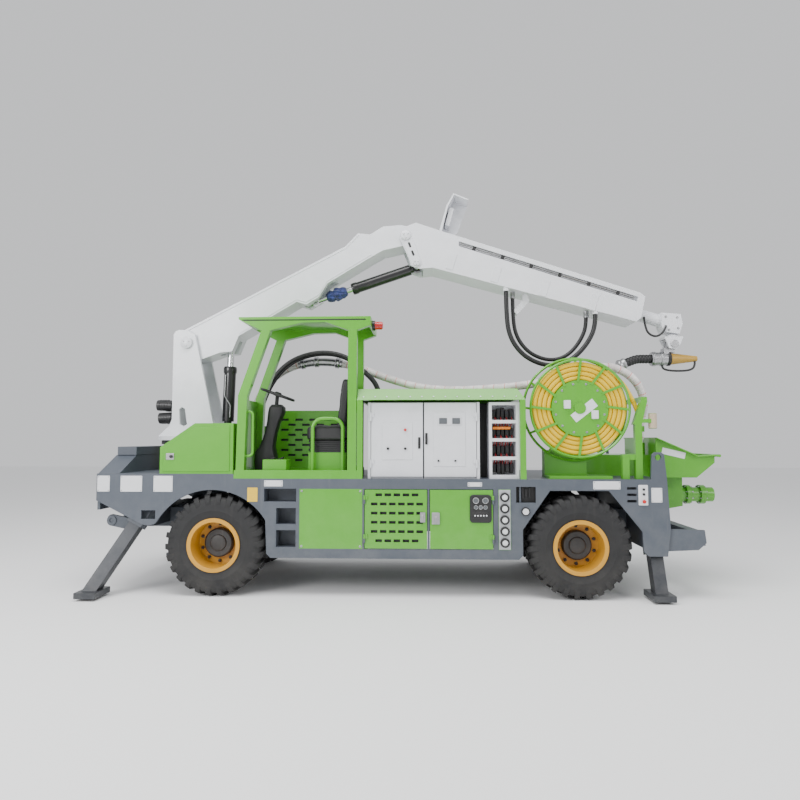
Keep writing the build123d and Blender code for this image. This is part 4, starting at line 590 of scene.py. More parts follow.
def tube_net(line, radius, around=20, swell=None):
    """A closed tube round a line: rings carried along it without twist, radius times swell(distance)."""
    line = np.asarray(line, float)
    ahead = np.gradient(line, axis=0)
    ahead /= np.linalg.norm(ahead, axis=1)[:, None]
    run = np.concatenate([[0.0], np.cumsum(np.linalg.norm(np.diff(line, axis=0), axis=1))])
    side = np.cross(ahead[0], (0.0, 1.0, 0.0))
    side = side if np.linalg.norm(side) > 0.2 else np.cross(ahead[0], (1.0, 0.0, 0.0))
    sides = [side / np.linalg.norm(side)]
    for way in ahead[1:]:
        flat = sides[-1] - way * (sides[-1] @ way)
        sides.append(flat / np.linalg.norm(flat))
    sides = np.array(sides)
    across = np.cross(ahead, sides)
    t = np.linspace(0, 2 * np.pi, around + 1)
    wide = radius * (np.ones_like(run) if swell is None else swell(run))
    ring = np.cos(t)[None, :, None] * sides[:, None] + np.sin(t)[None, :, None] * across[:, None]
    skin = line[:, None] + wide[:, None, None] * ring
    ends = np.broadcast_to(line[[0, -1], None], (2, around + 1, 3))
    return np.concatenate([ends[:1], skin, ends[1:]]), run, t


def tube(name, line, radius, around=20, swell=None, smooth=50.0):
    """A tube with a UV map: once round across, metres along."""
    skin, run, t = tube_net(line, radius, around, swell)
    far = np.concatenate([run[:1], run, run[-1:]])
    uv = np.stack(np.meshgrid(t / (2 * np.pi), far), -1)
    return new_mesh(name, [skin], smooth, uv)


circle = np.linspace(0, 2 * np.pi, 73)
rim_line = wheel_hub + 0.19 * (np.cos(circle)[:, None] * wheel_u + np.sin(circle)[:, None] * wheel_v)
wheel = [tube_net(rim_line, 0.0145, 14)[0][1:-1]]
for k in range(3):
    turn = 2 * np.pi * k / 3
    out = np.cos(turn) * wheel_u + np.sin(turn) * wheel_v
    spoke_at = wheel_hub + 0.1 * out - 0.006 * wheel_up
    wheel.append(rounded_plate(spoke_at, out, np.cross(wheel_up, out), 0.09, 0.014, 0.012, 0.01, 0.003))
hub_line = wheel_hub + np.linspace(-0.02, 0.032, 7)[:, None] * wheel_up
wheel.append(tube_net(hub_line, 0.045, 28, lambda run: np.array([1, 1, 1, 1, 0.97, 0.85, 0.6]))[0])
shaft_line = np.linspace((-1.592, SEAT_Y, 2.03), wheel_hub - 0.018 * wheel_up, 6)
column = [column_net(COLUMN, SEAT_Y), tube_net(shaft_line, 0.021, 24)[0]]
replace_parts(piece("column_cover", column, black_plastic, "chassis"), "steering_column")
steering = piece("steering_rim", wheel, black_plastic, "steering_wheel")
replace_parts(steering, "steering_wheel")

# Machine bay. A green frame and bolted roof over two white steel switch cabinets, an open switch rack,
# and the engine behind them.
white_paint = finish_of("white_paint", (0.71, 0.72, 0.75), 0.3, 1.6, 0.1, grime=(0.5, 0.49, 0.47), clear=0.25)
cast_iron = finish_of("engine_cast_iron", (0.05, 0.055, 0.055), 0.6, 2.2, 0.25)
coat(green_paint, "bay_frame")
coat(white_paint, "cabinets", "cabinet_door_front", "cabinet_door_back")
coat(cast_iron, "engine")
eave_out = np.array((0.0, -0.8116, 0.5842))
roof_bolts = []
for k in range(14):
    spot = np.array((-0.56 + 0.125 * k, -1.0055, 2.112))
    roof_bolts.append(tube_net(spot + np.linspace(-0.002, 0.006, 3)[:, None] * eave_out, 0.008, 6)[0])
piece("roof_bolts", roof_bolts, steel, "chassis", 28.0)
gap_back = [rounded_plate((0.268, -0.62, 1.65), *LEFT, 0.81, 0.41, 0.01, 0.01, 0.002)]
piece("bay_backing", gap_back, black_plastic, "chassis")
CABINET_Y, FACE_THICK, METER_THICK, HANDLE_THICK = -0.96, 0.005, 0.006, 0.012
BACK_X, METER_Z = 0.36, 1.855
face_y = CABINET_Y - FACE_THICK
front_face = [rounded_plate((-0.2, CABINET_Y, 1.64), *LEFT, 0.165, 0.2, FACE_THICK, 0.006, 0.002)]
back_face = [rounded_plate((BACK_X, CABINET_Y, 1.66), *LEFT, 0.17, 0.29, FACE_THICK, 0.006, 0.002)]
back_face.append(rounded_plate((BACK_X, face_y, METER_Z), *LEFT, 0.13, 0.045, METER_THICK, 0.006, 0.002))
piece("front_cabinet_face", front_face, white_paint, "cabinet_door_front")
piece("back_cabinet_face", back_face, white_paint, "cabinet_door_back")
door_handle = [rounded_plate((0.112, CABINET_Y, 1.665), *LEFT, 0.013, 0.062, HANDLE_THICK, 0.006, 0.003)]
door_handle.append(rounded_plate((0.112, CABINET_Y - HANDLE_THICK, 1.65), *LEFT, 0.008, 0.035, 0.014, 0.004, 0.003))
piece("back_cabinet_handle", door_handle, black_plastic, "cabinet_door_back")
front_handle = [rounded_plate((0.035, CABINET_Y, 1.62), *LEFT, 0.013, 0.062, HANDLE_THICK, 0.006, 0.003)]
piece("front_cabinet_handle", front_handle, black_plastic, "cabinet_door_front")
meters = [rounded_plate((BACK_X + dx, face_y - METER_THICK, METER_Z), *LEFT, 0.042, 0.032, 0.008, 0.005, 0.002)
          for dx in (-0.07, 0.07)]
piece("cabinet_meters", meters, dial_face, "cabinet_door_back")
front_lamp = [turned(KNOB * (0.8, 0.6), (-0.115, face_y, 1.76), around=20)]
piece("front_cabinet_lamp", front_lamp, signal_red, "cabinet_door_front")
front_keys = [turned(KNOB * (0.75, 0.6), (x, face_y, 1.56), around=20) for x in (-0.115, -0.3)]
piece("front_cabinet_keys", front_keys, black_plastic, "cabinet_door_front")
back_keys = [turned(KNOB * (0.6, 0.6), (x, face_y, 1.43), around=20) for x in (0.24, 0.42)]
piece("back_cabinet_keys", back_keys, black_plastic, "cabinet_door_back")
switchgear, wires = [], []
for row in range(4):
    z = 1.28 + 0.195 * row + 0.07
    for k in range(5):
        high = 0.045 + 0.012 * ((row + k) % 3)
        deep = 0.075 + 0.02 * (k % 2)
        switchgear.append(rounded_plate((0.845 + 0.046 * k, -0.765, z), *LEFT, 0.019, high, deep, 0.004, 0.003))
for row in range(3):
    for k in range(7):
        sag = np.linspace(0, np.pi, 12)[:, None]
        start = np.array((0.84 + 0.03 * k, -0.85, 1.395 + 0.195 * row))
        bow = start + np.sin(sag) * (0.0, -0.06, 0.01) + (sag / np.pi) * (0.015 * (-1) ** k, 0.0, 0.115)
        wires.append(tube_net(bow, 0.0045, 8)[0])
piece("switchgear", switchgear, black_plastic, "chassis")
orange = finish_of("orange_gear", (0.75, 0.22, 0.012), 0.35, 1.0, 0.1, edge=0.0)
orange_gear = [rounded_plate((0.92, -0.87, 1.78), *LEFT, 0.095, 0.014, 0.03, 0.005, 0.003)]
piece("orange_isolator", orange_gear, orange, "chassis")
wire_red = finish_of("wire_red", (0.3, 0.015, 0.02), 0.4, 1.0, 0.1, edge=0.0)
piece("rack_wires", wires, wire_red, "chassis")

# Cable reel. A green welded drum with twelve spokes a side and bolted hub plates; the yellow supply cable
# lies on it in four layers and runs to a clamp on the guide stand, past a beige nylon roller.
coat(green_paint, "reel_stands", "reel")
DRUM = pivots["reel_turn"]
REEL_FACE, HUB_BOLT_R = -0.95, 0.265
hub_bolts = [turned(BOLT, (DRUM[0] + dx, REEL_FACE, DRUM[2] + dz), around=6) for dx, dz in round_circle(12, HUB_BOLT_R)]
piece("reel_bolts", hub_bolts, steel, "reel", 28.0)
lean_u, lean_v = (0.79, 0.0, 0.61), (-0.61, 0.0, 0.79)
reel_plate = [rounded_plate((1.79, REEL_FACE, 1.965), lean_u, lean_v, 0.145, 0.05, PLATE_THICK, 0.006, 0.001)]
piece("reel_plate", reel_plate, plate_white, "reel")
hub_covers = [rounded_plate((x, REEL_FACE, z), *LEFT, 0.035, 0.045, 0.03, 0.008, 0.004)
              for x, z in ((1.61, 2.03), (1.9, 1.92))]
piece("reel_hub_covers", hub_covers, plate_white, "reel")
LAYERS, TURNS, CABLE_R = 4, 5, 0.0245
cable_yellow = finish_of("cable_yellow", (0.74, 0.49, 0.0), 0.34, 2.2, 0.06, edge=0.0, bump=0.1)


def wound_nets(centre, radii, offsets, thick, around=120, section=12):
    """Rings of round section about an axle along Y: the ring's circle plus the section's circle."""
    s = np.linspace(0, 2 * np.pi, section + 1)
    return [turned(np.stack([r + thick * np.cos(s), shift + thick * np.sin(s)], 1), centre, "y", around)
            for r in radii for shift in offsets]


layer_radii = 0.300 + 0.050 * (np.arange(LAYERS) + 0.5)
turn_offsets = np.linspace(-0.113 + CABLE_R, 0.113 - CABLE_R, TURNS)
wound = piece("wound_cable", wound_nets(DRUM, layer_radii, turn_offsets, CABLE_R), cable_yellow, "reel",
              60.0)
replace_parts(wound, "cable_coil")
roller_beige = finish_of("roller_beige", (0.47, 0.38, 0.27), 0.5, 1.0, 0.1)
ROLLER = np.array([(0.0, -0.083), (0.035, -0.083), (0.0435, -0.076), (0.0435, 0.076), (0.035, 0.083), (0.0, 0.083)])
piece("guide_roller", [turned(ROLLER, (2.5203, -0.9, 1.855), "z", 36)], roller_beige, "chassis")


def routed(name, route):
    """Points along a smooth line: a NURBS spline of order 3 with the route as its control points."""
    curve = bpy.data.curves.new(name, "CURVE")
    curve.dimensions = "3D"
    curve.resolution_u = 24
    spline = curve.splines.new("NURBS")
    spline.points.add(len(route) - 1)
    spline.points.foreach_set("co", np.column_stack([route, np.ones(len(route))]).ravel())
    spline.order_u = 3
    spline.use_endpoint_u = True
    holder = bpy.data.objects.new(name, curve)
    bpy.context.scene.collection.objects.link(holder)
    mesh = bpy.data.meshes.new_from_object(holder)
    line = np.zeros(len(mesh.vertices) * 3)
    mesh.vertices.foreach_get("co", line)
    bpy.data.objects.remove(holder)
    line = line.reshape(-1, 3)
    keep = np.append(True, np.linalg.norm(np.diff(line, axis=0), axis=1) > 1e-6)
    return line[keep]


def stepped(line, step):
    """The same line with points at even steps."""
    run = np.concatenate([[0.0], np.cumsum(np.linalg.norm(np.diff(line, axis=0), axis=1))])
    far = np.linspace(0.0, run[-1], int(run[-1] / step) + 1)
    return np.stack([np.interp(far, run, line[:, k]) for k in range(3)], 1)


def free_cord(name, route, radius, material, body, step=0.02, around=18, swell=None, node=None):
    """A stiff hose or cable along its route, drawn as a tube of its thickness."""
    line = routed(name + "_line", np.asarray(route))
    made = tube(name, stepped(line, step), radius, around, swell)
    made.data.materials.append(material)
    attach(made, body)
    if node:
        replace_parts(made, node)
    return line


LEAD_Y = -0.840
LEAD_LINE = ((2.0803, 2.402), (2.2203, 2.289), (2.3203, 2.110), (2.4003, 1.925), (2.4003, 1.800))
LEAD_ROUTE = [(x, LEAD_Y, z) for x, z in LEAD_LINE]
free_cord("supply_cable", LEAD_ROUTE, CABLE_R - 0.0005, cable_yellow, "chassis",
          node="cable_lead")

# Concrete pump and hopper. Green welded steel: a wide hopper with a bar grate over it, and the pump's
# outlet pipe with two bolted flanges below.
coat(green_paint, "pump", "hopper")
grate = []
for k in range(11):
    y = -0.5 + 0.1 * k
    grate.append(tube_net([(2.68, y, 1.615), (3.1, y, 1.462), (3.29, y, 1.462)], 0.009, 10)[0])
for x, z in ((2.80, 1.571), (3.0, 1.498), (3.2, 1.462)):
    grate.append(tube_net([(x, -0.545, z), (x, 0.545, z)], 0.01, 10)[0])
piece("hopper_grate", grate, dark_paint, "chassis")
FLANGE_R, OUTLET_Z = 0.098, 1.005
BOLT_REACH = np.linspace(-0.012, 0.072, 3)[:, None] * (1.0, 0.0, 0.0)
flange_bolts = [tube_net(np.array((x, dy, OUTLET_Z + dz)) + BOLT_REACH, 0.009, 6)[0]
                for x in (3.185, 3.345) for dy, dz in round_circle(8, FLANGE_R)]
piece("flange_bolts", flange_bolts, steel, "chassis", 28.0)
brim_u, brim_v = (0.93, 0, -0.22), (0.22, 0, 0.93)
hopper_plate = [rounded_plate((2.86, -0.56, 1.505), brim_u, brim_v, 0.13, 0.035, PLATE_THICK, 0.006, 0.001)]
piece("hopper_plate", hopper_plate, plate_white, "chassis")

# Concrete hose. A white ribbed delivery hose with red tracer rings runs from the deck over the bay's roof
# to the pump; over the cab it is joined by a clamped steel pipe, with two black hydraulic hoses beside it.
HOSE_SIZE = 0.096
CONCRETE_ROUTE = [
    (-2.1307, 0.300, 1.540), (-2.1307, 0.300, 1.960), (-1.9897, 0.290, 2.330), (-1.6797, 0.270, 2.580),
    (-1.2597, 0.255, 2.665), (-0.8197, 0.245, 2.600), (-0.3997, 0.240, 2.430), (0.0403, 0.180, 2.300),
    (0.5003, 0.000, 2.255), (0.9803, -0.330, 2.259), (1.4203, -0.460, 2.300), (1.8003, -0.465, 2.400),
    (2.0003, -0.465, 2.468), (2.2003, -0.465, 2.492), (2.4003, -0.455, 2.420), (2.5503, -0.435, 2.262),
    (2.6203, -0.380, 2.060), (2.5853, -0.260, 1.840), (2.5853, -0.260, 1.620),
]
hose_white, hose_tree, hose_shader = new_material("hose_white")
hose_uv = add_node(hose_tree, "ShaderNodeUVMap", uv_map="along")
hose_split = add_node(hose_tree, "ShaderNodeSeparateXYZ")
hose_wrap = add_node(hose_tree, "ShaderNodeMath", {1: 0.132}, operation="MODULO")
hose_line = add_node(hose_tree, "ShaderNodeMath", {1: 0.009}, operation="LESS_THAN")
hose_fade = add_node(hose_tree, "ShaderNodeMath", {1: 0.75}, operation="MULTIPLY")
hose_mottle = add_node(hose_tree, "ShaderNodeTexNoise", Scale=9.0, Detail=6.0)
hose_where = add_node(hose_tree, "ShaderNodeTexCoord")


def two_tone(tree, *stops):
    """A colour ramp with two stops, each a place and a colour."""
    ramp = add_node(tree, "ShaderNodeValToRGB")
    for element, (place, colour) in zip(ramp.color_ramp.elements, stops):
        element.position, element.color = place, (*colour, 1.0)
    return ramp


hose_tone = two_tone(hose_tree, (0.3, (0.5, 0.46, 0.45)), (0.7, (0.75, 0.72, 0.72)))
hose_rough = add_node(hose_tree, "ShaderNodeMapRange", {"To Min": 0.38, "To Max": 0.6})
hose_bump = add_node(hose_tree, "ShaderNodeBump", Strength=0.2, Distance=0.002)
hose_mix = add_node(hose_tree, "ShaderNodeMix", {7: (0.6, 0.1, 0.09, 1.0)}, data_type="RGBA")
wire(hose_tree, (hose_uv, "UV", hose_split, 0), (hose_split, "Y", hose_wrap, 0), (hose_wrap, "Value", hose_line, 0),
     (hose_line, "Value", hose_fade, 0), (hose_where, "Object", hose_mottle, "Vector"),
     (hose_mottle, "Fac", hose_tone, "Fac"), (hose_mottle, "Fac", hose_rough, "Value"),
     (hose_fade, "Value", hose_mix, "Factor"), (hose_tone, "Color", hose_mix, 6),
     (hose_mix, 2, hose_shader, "Base Color"), (hose_rough, "Result", hose_shader, "Roughness"),
     (hose_mottle, "Fac", hose_bump, "Height"), (hose_bump, "Normal", hose_shader, "Normal"))


def ribs(pitch, deep):
    """Swell of a ribbed hose: a cosine wave along its length that only cuts in from the full radius."""
    return lambda run: 1.0 - deep * (0.5 + 0.5 * np.cos(run * 2 * np.pi / pitch))


concrete_line = free_cord("concrete_hose_skin", CONCRETE_ROUTE, HOSE_SIZE / 2, hose_white, "chassis",
                          step=0.011, around=24, swell=ribs(0.044, 0.05), node="concrete_hose")
above_cab = (concrete_line[:, 0] > -1.52) & (concrete_line[:, 0] < -0.96) & (concrete_line[:, 2] > 2.3)
over_cab = stepped(concrete_line[above_cab], 0.01)
joint = [tube_net(over_cab, 0.053, 28)[0]]
for mid in (0.1, 0.42, 0.9):
    at = int(mid * (len(over_cab) - 1))
    near = over_cab[at - 3:at + 4]
    joint.append(tube_net(near, 0.068, 28, lambda run: np.array([0.85, 1, 1, 0.94, 1, 1, 0.85]))[0])
piece("joint_pipe", joint, steel, "chassis")
rubber = finish_of("hose_rubber", (0.009, 0.009, 0.01), 0.42, 2.4, 0.1, edge=0.0, bump=0.3)
HYDRAULIC_ROUTE = [
    (-2.05, 0.160, 1.290), (-2.05, 0.160, 1.70), (-1.93, 0.165, 2.25), (-1.66, 0.165, 2.62), (-1.27, 0.160, 2.76),
    (-0.90, 0.150, 2.71), (-0.66, 0.150, 2.50), (-0.50, 0.160, 2.34), (-0.48, 0.160, 2.203),
]
for k, aside in enumerate((0.0, 0.075)):
    route = np.array(HYDRAULIC_ROUTE) + (0.0, -aside, 0.0)
    free_cord(f"hydraulic_hose_{k + 1}", route, 0.031, rubber, "chassis", step=0.012,
              around=16, swell=ribs(0.03, 0.04))
END_FITTING = np.array([(0.0, 0.0), (0.037, 0.0), (0.037, 0.03), (0.0345, 0.034), (0.0345, 0.075), (0.0, 0.075)])
ends = [turned(END_FITTING, (x, y, z), "z", 24) for x, z in ((-2.05, 1.29), (-0.48, 2.203)) for y in (0.16, 0.085)]
piece("hydraulic_fittings", ends, steel, "chassis")

# Turret and boom. Fabricated white box sections that turn on the slew ring; the pins are held by bolted
# keeper plates, and the long seams are welded.
coat(white_paint, "turret", "boom", "arm", "telescope", "rotary_unit", "arm_lamp_guard")
PIN_CAP = np.array([(0.0, -0.012), (0.05, -0.012), (0.056, -0.008), (0.056, 0.0), (0.0, 0.0)])


def pin_caps(spot, y, size):
    """A round keeper plate with three bolts on each side of a pin."""
    nets = []
    for out in (-1.0, 1.0):
        nets.append(turned(PIN_CAP * (size, -out), (spot[0], out * y, spot[2])))
        for k in range(3):
            turn = 2 * np.pi * k / 3 + 0.5
            place = (spot[0] + 0.03 * size * np.cos(turn), out * (y + 0.012), spot[2] + 0.03 * size * np.sin(turn))
            nets.append(turned(BOLT * (0.8, -out), place, around=6))
    return nets


piece("boom_pin_caps", pin_caps(pivots["boom_lift"], 0.250, 1.25), white_paint, "turret")
piece("elbow_pin_caps", pin_caps(pivots["arm_fold"], 0.231, 1.05), white_paint, "arm")
piece("arm_foot_caps", pin_caps(pivots["arm_barrel_swing"], 0.231, 0.75), white_paint, "arm")


def weld_bead(line, thick=0.005):
    """A rippled weld run along a line of points: a small half-buried bead with a wave on its radius."""
    fine = stepped(np.asarray(line, float), 0.012)
    return tube_net(fine, thick, 8, lambda run: 1.0 + 0.18 * np.cos(run * 2 * np.pi / 0.024))[0]


BOOM_EDGE = [(-2.8727, 2.985), (-0.8787, 4.013), (-0.7207, 4.175)]
beads = [weld_bead([(x + 0.01, y, z - 0.022) for x, z in BOOM_EDGE]) for y in (-0.1805, 0.1805)]
BOOM_SEAM = [(-2.17, 2.93), (-1.47, 3.345), (-1.355, 3.31), (-1.20, 3.4), (-1.10, 3.565), (-0.5557, 3.89)]
beads += [weld_bead([(x, y, z + 0.02) for x, z in BOOM_SEAM]) for y in (-0.1805, 0.1805)]
piece("boom_welds", beads, white_paint, "boom")
turn = np.linspace(0, 2 * np.pi, 37)
eye_ring = np.array((-2.29, 0.0, 3.302)) + 0.032 * np.stack([np.cos(turn), 0 * turn, np.sin(turn)], 1)
piece("boom_lifting_eye", [tube_net(eye_ring, 0.011, 12)[0][1:-1]], steel, "boom")

# Arm. A white telescopic box beam with a recessed tray along each side, in which two steel feed pipes run
# through clamps. Two ribbed black hoses hang below it in a loop, screwed into collars at the underside, and
# a slotted link plate is pinned over the elbow.
elbow = pivots["arm_fold"]
ARM_FACE = -0.216
TRAY_Y = -0.196
pipes, clamps = [], []
for drop in (0.0, 0.024):
    run = elbow + [(0.66, TRAY_Y, -0.103 - drop), (2.72, TRAY_Y, -0.783 - drop)]
    pipes.append(tube_net(np.linspace(*run, 30), 0.0095, 10)[0])
for k in range(6):
    far = 0.08 + 0.165 * k
    spot = elbow + (0.66 + 2.06 * far, -0.178, -0.115 - 0.68 * far)
    clamps.append(rounded_plate(spot, (0.95, 0, -0.314), (0.314, 0, 0.95), 0.02, 0.03, 0.03, 0.004, 0.003))
piece("feed_pipes", pipes, steel, "arm")
piece("pipe_clamps", clamps, black_plastic, "arm")
along = np.array((0.9563, 0.0, -0.2924))
up = np.array((0.2924, 0.0, 0.9563))
bands = []
for far in (0.62, 1.18, 1.78, 2.38):
    mid = elbow + far * along - 0.15 * up
    bands.append(rounded_plate(mid + (0.0, ARM_FACE, 0.0), along, up, 0.045, 0.1, 0.005, 0.006, 0.002))
piece("arm_doublers", bands, white_paint, "arm")
LOOP_Y, INNER_Y = -0.175, -0.095
LOOP_LINE = (
    (1.0733, 3.440), (1.0733, 3.120), (1.1133, 2.880), (1.2383, 2.690), (1.4033, 2.580), (1.5733, 2.535),
    (1.7383, 2.555), (1.8983, 2.650), (2.0383, 2.810), (2.1283, 3.000), (2.1283, 3.150),
)
LOOP_ROUTE = [(x, LOOP_Y, z) for x, z in LOOP_LINE]
free_cord("arm_loop", LOOP_ROUTE, 0.028, rubber, "arm", step=0.006,
          swell=ribs(0.024, 0.05), node="arm_hoses")
INNER_LINE = (
    (1.160, 3.435), (1.160, 3.120), (1.200, 2.900), (1.320, 2.730), (1.470, 2.640), (1.620, 2.610),
    (1.760, 2.640), (1.880, 2.730), (1.980, 2.870), (2.040, 3.020), (2.040, 3.190),
)
INNER_ROUTE = [(x, INNER_Y, z) for x, z in INNER_LINE]
free_cord("arm_loop_inner", INNER_ROUTE, 0.024, rubber, "arm", step=0.006,
          swell=ribs(0.024, 0.05))
collars = [turned(END_FITTING * (0.9, 1.0), (x, INNER_Y, z), "z", 24) for x, z in ((1.16, 3.366), (2.04, 3.124))]
piece("loop_collars", collars, steel, "arm")
LINK_MID, LINK_THICK = np.array((-0.0677, ARM_FACE, 3.959)), 0.008
link_u, link_v = np.array((0.933, 0.0, 0.359)), np.array((-0.359, 0.0, 0.933))
link = [rounded_plate(LINK_MID, link_u, link_v, 0.062, 0.235, LINK_THICK, 0.05, 0.003, 8)]
piece("elbow_link", link, white_paint, "arm")
link_face = LINK_MID + (0.0, -LINK_THICK, 0.0)
slots = [rounded_plate(link_face + far * link_v, link_u, link_v, 0.013, 0.035, 0.002, 0.012, 0.001)
         for far in (-0.055, 0.055)]
piece("elbow_link_slots", slots, black_plastic, "arm")

# Cylinders. Black painted barrels with a bolted gland and a bent steel feed pipe, and hard-chromed rods;
# a blue cloth is tied round the arm cylinder's rod.
black_paint = finish_of("black_barrel_paint", (0.008, 0.008, 0.009), 0.26, 1.0, 0.06, clear=0.35)
chrome = finish_of("rod_chrome", (0.78, 0.78, 0.8), 0.1, 1.0, 0.05, metal=1.0, bump=0.02)
coat(black_paint, "lift_barrel", "arm_barrel")
coat(chrome, "lift_rod", "arm_rod")
lift_foot, lift_eye = pivots["lift_barrel_swing"], np.array((-2.3227, 0.0, 2.785))
lift_way = (lift_eye - lift_foot) / np.linalg.norm(lift_eye - lift_foot)
gland = lift_foot + np.linspace(0.69, 0.765, 5)[:, None] * lift_way
GLAND_STEPS = np.array([0.96, 1, 1, 1, 0.94])
lift_gland = [tube_net(gland, 0.081, 36, lambda run: GLAND_STEPS)[0]]
piece("lift_gland", lift_gland, black_paint, "lift_barrel")
feed = np.array([(-0.03, -0.084, 0.66), (-0.03, -0.084, 0.40), (0.045, -0.078, 0.29), (0.045, -0.078, 0.14)])
feed_line = lift_foot + feed[:, :1] * np.cross((0, 1, 0), lift_way) + feed[:, 1:2] * (0, 1, 0) + feed[:, 2:] * lift_way
piece("lift_feed_pipe", [tube_net(stepped(feed_line, 0.02), 0.007, 10)[0]], steel, "lift_barrel")
arm_foot, arm_eye = pivots["arm_barrel_swing"], np.array((-1.2687, 0.0, 3.370))
arm_way = (arm_eye - arm_foot) / np.linalg.norm(arm_eye - arm_foot)
gland = arm_foot + np.linspace(0.775, 0.846, 5)[:, None] * arm_way
arm_gland = [tube_net(gland, 0.074, 36, lambda run: GLAND_STEPS)[0]]
piece("arm_gland", arm_gland, black_paint, "arm_barrel")


def tied_cloth(start, way, long, n=120):
    """A cloth gathered round a rod: radius from a two-bulge wave along it, with spiral folds that fade at the ties."""
    s = np.linspace(0, 1, n)[:, None]
    t = np.linspace(0, 2 * np.pi, n + 1)[None, :]
    tight = np.exp(-((s - 0.36) / 0.07) ** 2) + 0.6 * np.exp(-((s - 0.7) / 0.06) ** 2)
    bulge = 0.04 + 0.04 * np.sin(np.pi * s) ** 0.5 - 0.017 * tight
    waves = np.sin(9 * t + 11 * s) + 0.6 * np.sin(5 * t - 17 * s) + 0.4 * np.sin(14 * t + 23 * s)
    radius = bulge * (1 + 0.07 * np.sin(np.pi * s) * waves)
    side = np.cross(way, (0.0, 1.0, 0.0))
    line = start + s[..., None] * long * way
    return line + radius[..., None] * (np.cos(t)[..., None] * side + np.sin(t)[..., None] * np.array((0.0, 1.0, 0.0)))


wrap = new_mesh("rod_cloth", [tied_cloth(arm_eye - 0.150 * arm_way, -arm_way, 0.268)], 70.0)
blue_cloth, cloth_tree, cloth_shader = new_material("blue_cloth")
cloth_shader.inputs["Sheen Weight"].default_value = 0.4
cloth_where = add_node(cloth_tree, "ShaderNodeTexCoord")
cloth_weave = add_node(cloth_tree, "ShaderNodeTexWave", Scale=190.0, Distortion=1.5)
cloth_fade = add_node(cloth_tree, "ShaderNodeTexNoise", Scale=24.0, Detail=5.0)
cloth_tone = two_tone(cloth_tree, (0.3, (0.008, 0.012, 0.07)), (0.72, (0.03, 0.05, 0.26)))
cloth_rough = add_node(cloth_tree, "ShaderNodeMapRange", {"To Min": 0.5, "To Max": 0.8})
cloth_bump = add_node(cloth_tree, "ShaderNodeBump", Strength=0.35, Distance=0.001)
wire(cloth_tree, (cloth_where, "Object", cloth_weave, "Vector"), (cloth_where, "Object", cloth_fade, "Vector"),
     (cloth_fade, "Fac", cloth_tone, "Fac"), (cloth_tone, "Color", cloth_shader, "Base Color"),
     (cloth_fade, "Fac", cloth_rough, "Value"), (cloth_rough, "Result", cloth_shader, "Roughness"),
     (cloth_weave, "Fac", cloth_bump, "Height"), (cloth_bump, "Normal", cloth_shader, "Normal"))
wrap.data.materials.append(blue_cloth)
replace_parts(wrap, "rod_wrap")
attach(wrap, "arm_rod")

# Spray head. A white cast rotary unit hangs from the wrist and holds the machined steel nozzle body; the tip
# is a tan polyurethane cone. A thick ribbed sleeve that ends in a capped coupling and a thin air hose feed it.
tan_nozzle = finish_of("tan_nozzle", (0.4, 0.235, 0.03), 0.4, 1.0, 0.1)
coat(steel, "nozzle_body")
coat(tan_nozzle, "nozzle_tip")
tilt_pin = np.round(pivots["nozzle_tilt"], 4)
NOZZLE_DROP = 0.17
NOZZLE_Z = round(tilt_pin[2] - NOZZLE_DROP, 4)
SLEEVE_ROUTE = [
    (2.8292, 0.0, NOZZLE_Z), (2.7442, 0.0, NOZZLE_Z), (2.6592, 0.0, NOZZLE_Z), (2.5642, 0.0, 2.5953),
    (2.4692, 0.0, 2.5603),
]
sleeve = stepped(routed("sleeve_line", SLEEVE_ROUTE), 0.006)
sleeve_skin = [tube_net(sleeve, 0.055, 28, ribs(0.036, 0.07))[0]]
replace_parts(piece("nozzle_sleeve", sleeve_skin, rubber, "nozzle", 50.0), "nozzle_hoses")
sleeve_way = np.array((-0.9383, 0.0, -0.3457))
end_line = sleeve[-1] + np.linspace(-0.06, 0.04, 11)[:, None] * sleeve_way
END_STEPS = np.array([0.83, 0.98, 1.0, 1.0, 0.9, 0.9, 0.9, 1.0, 1.0, 0.98, 0.84])
piece("sleeve_coupling", [tube_net(end_line, 0.069, 32, lambda run: END_STEPS)[0]], steel, "nozzle")
TIP_RING = np.array([(0.0, -0.02), (0.082, -0.02), (0.086, -0.014), (0.086, 0.016), (0.08, 0.022), (0.0, 0.022)])
piece("tip_ring", [turned(TIP_RING, (3.034, 0.0, NOZZLE_Z), "x", 40)], black_plastic, "nozzle")
BAND = np.array([(0.0, -0.016), (0.088, -0.016), (0.088, 0.016), (0.0, 0.016)])
nozzle_bands = [turned(BAND, (x, 0.0, NOZZLE_Z), "x", 40) for x in (2.86, 2.955)]
piece("nozzle_clamps", nozzle_bands, steel, "nozzle")
AIR_ROUTE = [
    (2.955, -0.02, 2.555), (2.955, -0.02, 2.515), (3.02, -0.02, 2.488), (3.16, -0.02, 2.480), (3.29, -0.02, 2.490),
    (3.345, -0.02, 2.535), (3.345, -0.015, 2.600),
]
free_cord("air_hose", AIR_ROUTE, 0.0125, rubber, "nozzle", step=0.01, around=14)
WRIST_ROUTE = [
    (2.985, -0.097, 3.02), (2.96, -0.118, 2.95), (2.86, -0.13, 2.875), (2.76, -0.125, 2.92), (2.735, -0.1, 3.03),
    (2.735, -0.074, 3.13),
]
free_cord("wrist_hose", WRIST_ROUTE, 0.0125, rubber, "telescope", step=0.01, around=14)
WRIST_FACE, WRIST_BOLTS = -0.095, ((2.985, 3.13), (3.12, 3.12), (3.13, 2.99), (3.02, 2.97))
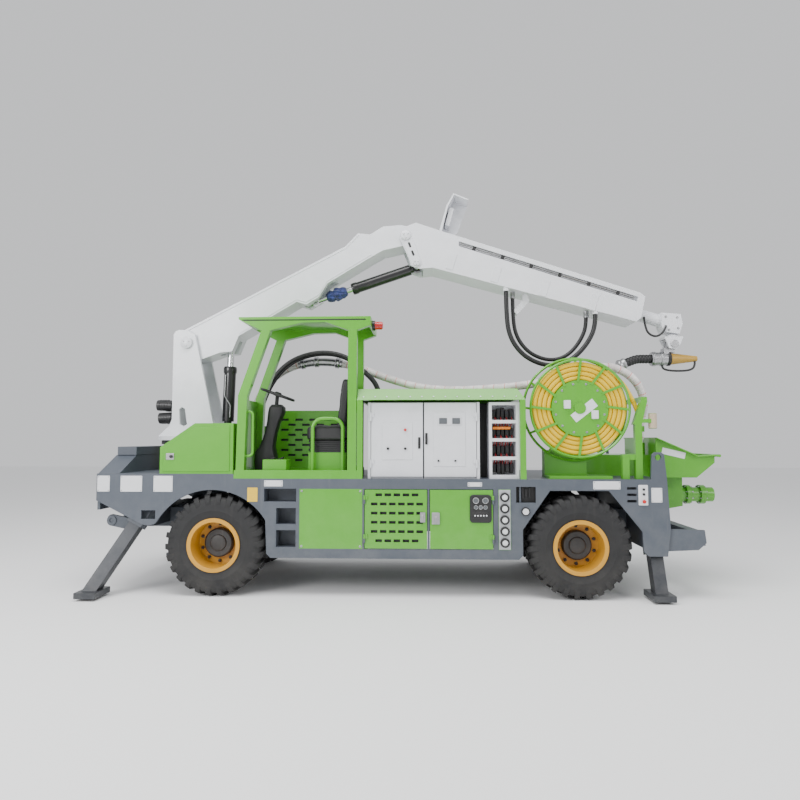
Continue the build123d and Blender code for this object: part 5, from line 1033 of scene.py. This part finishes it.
wrist_bolts = [turned(BOLT * (1.2, 1.0), (x, WRIST_FACE, z), around=6) for x, z in WRIST_BOLTS]
piece("wrist_bolts", wrist_bolts, steel, "telescope", 28.0)
piece("tilt_pin_cap", [turned(PIN_CAP * (0.85, 1.0), tilt_pin + (0.0, -0.1, 0.0))], steel, "rotary_unit")

# Lamps. Black work lamps on the turret, head lamps in the nose and a red beacon behind the canopy, each
# with a moulded lens.
lamp_shell = finish_of("lamp_shell", (0.011, 0.011, 0.012), 0.32, 1.0, 0.08)
coat(lamp_shell, "lamps", "turret_lamps")
lens_clear = finish_of("lens_clear", (0.5, 0.52, 0.55), 0.12, 1.0, 0.05, edge=0.0, bump=0.3, clear=0.8)
lens_red = finish_of("lens_red", (0.5, 0.006, 0.006), 0.18, 1.0, 0.03, edge=0.0, bump=0.3, clear=0.6)
LENS = np.array([(0.0, -0.006), (0.6, -0.005), (0.9, -0.002), (1.0, 0.002), (1.0, 0.01), (0.0, 0.01)])
head_lenses = [turned(LENS * (0.038, 1.0), (-3.4607, y, 1.528), "x") for y in (-0.48, -0.25, 0.25, 0.48)]
piece("head_lenses", head_lenses, lens_clear, "chassis")
work_lenses, fins = [], []
FIN = np.array([(0.0, 0.0), (0.0685, 0.0), (0.0685, 0.012), (0.0, 0.012)])
for y in (-0.125, 0.125):
    for x, z in ((-3.1817, 2.075), (-3.1567, 1.915)):
        work_lenses.append(turned(LENS * (0.062, 1.0), (x, y, z), "x"))
        fins += [turned(FIN, (x + 0.03 + 0.032 * k, y, z), "x", 36) for k in range(4)]
piece("work_lenses", work_lenses, lens_clear, "turret")
piece("lamp_fins", fins, lamp_shell, "turret")
BEACON = np.array([
    (0.0, 0.118), (0.03, 0.117), (0.042, 0.11), (0.0445, 0.1), (0.0445, 0.04), (0.047, 0.036), (0.047, 0.031),
    (0.0, 0.031),
])
piece("beacon_lens", [turned(BEACON, (-0.4847, -0.8, 2.92), "x", 40)], lens_red, "chassis")

low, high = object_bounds()
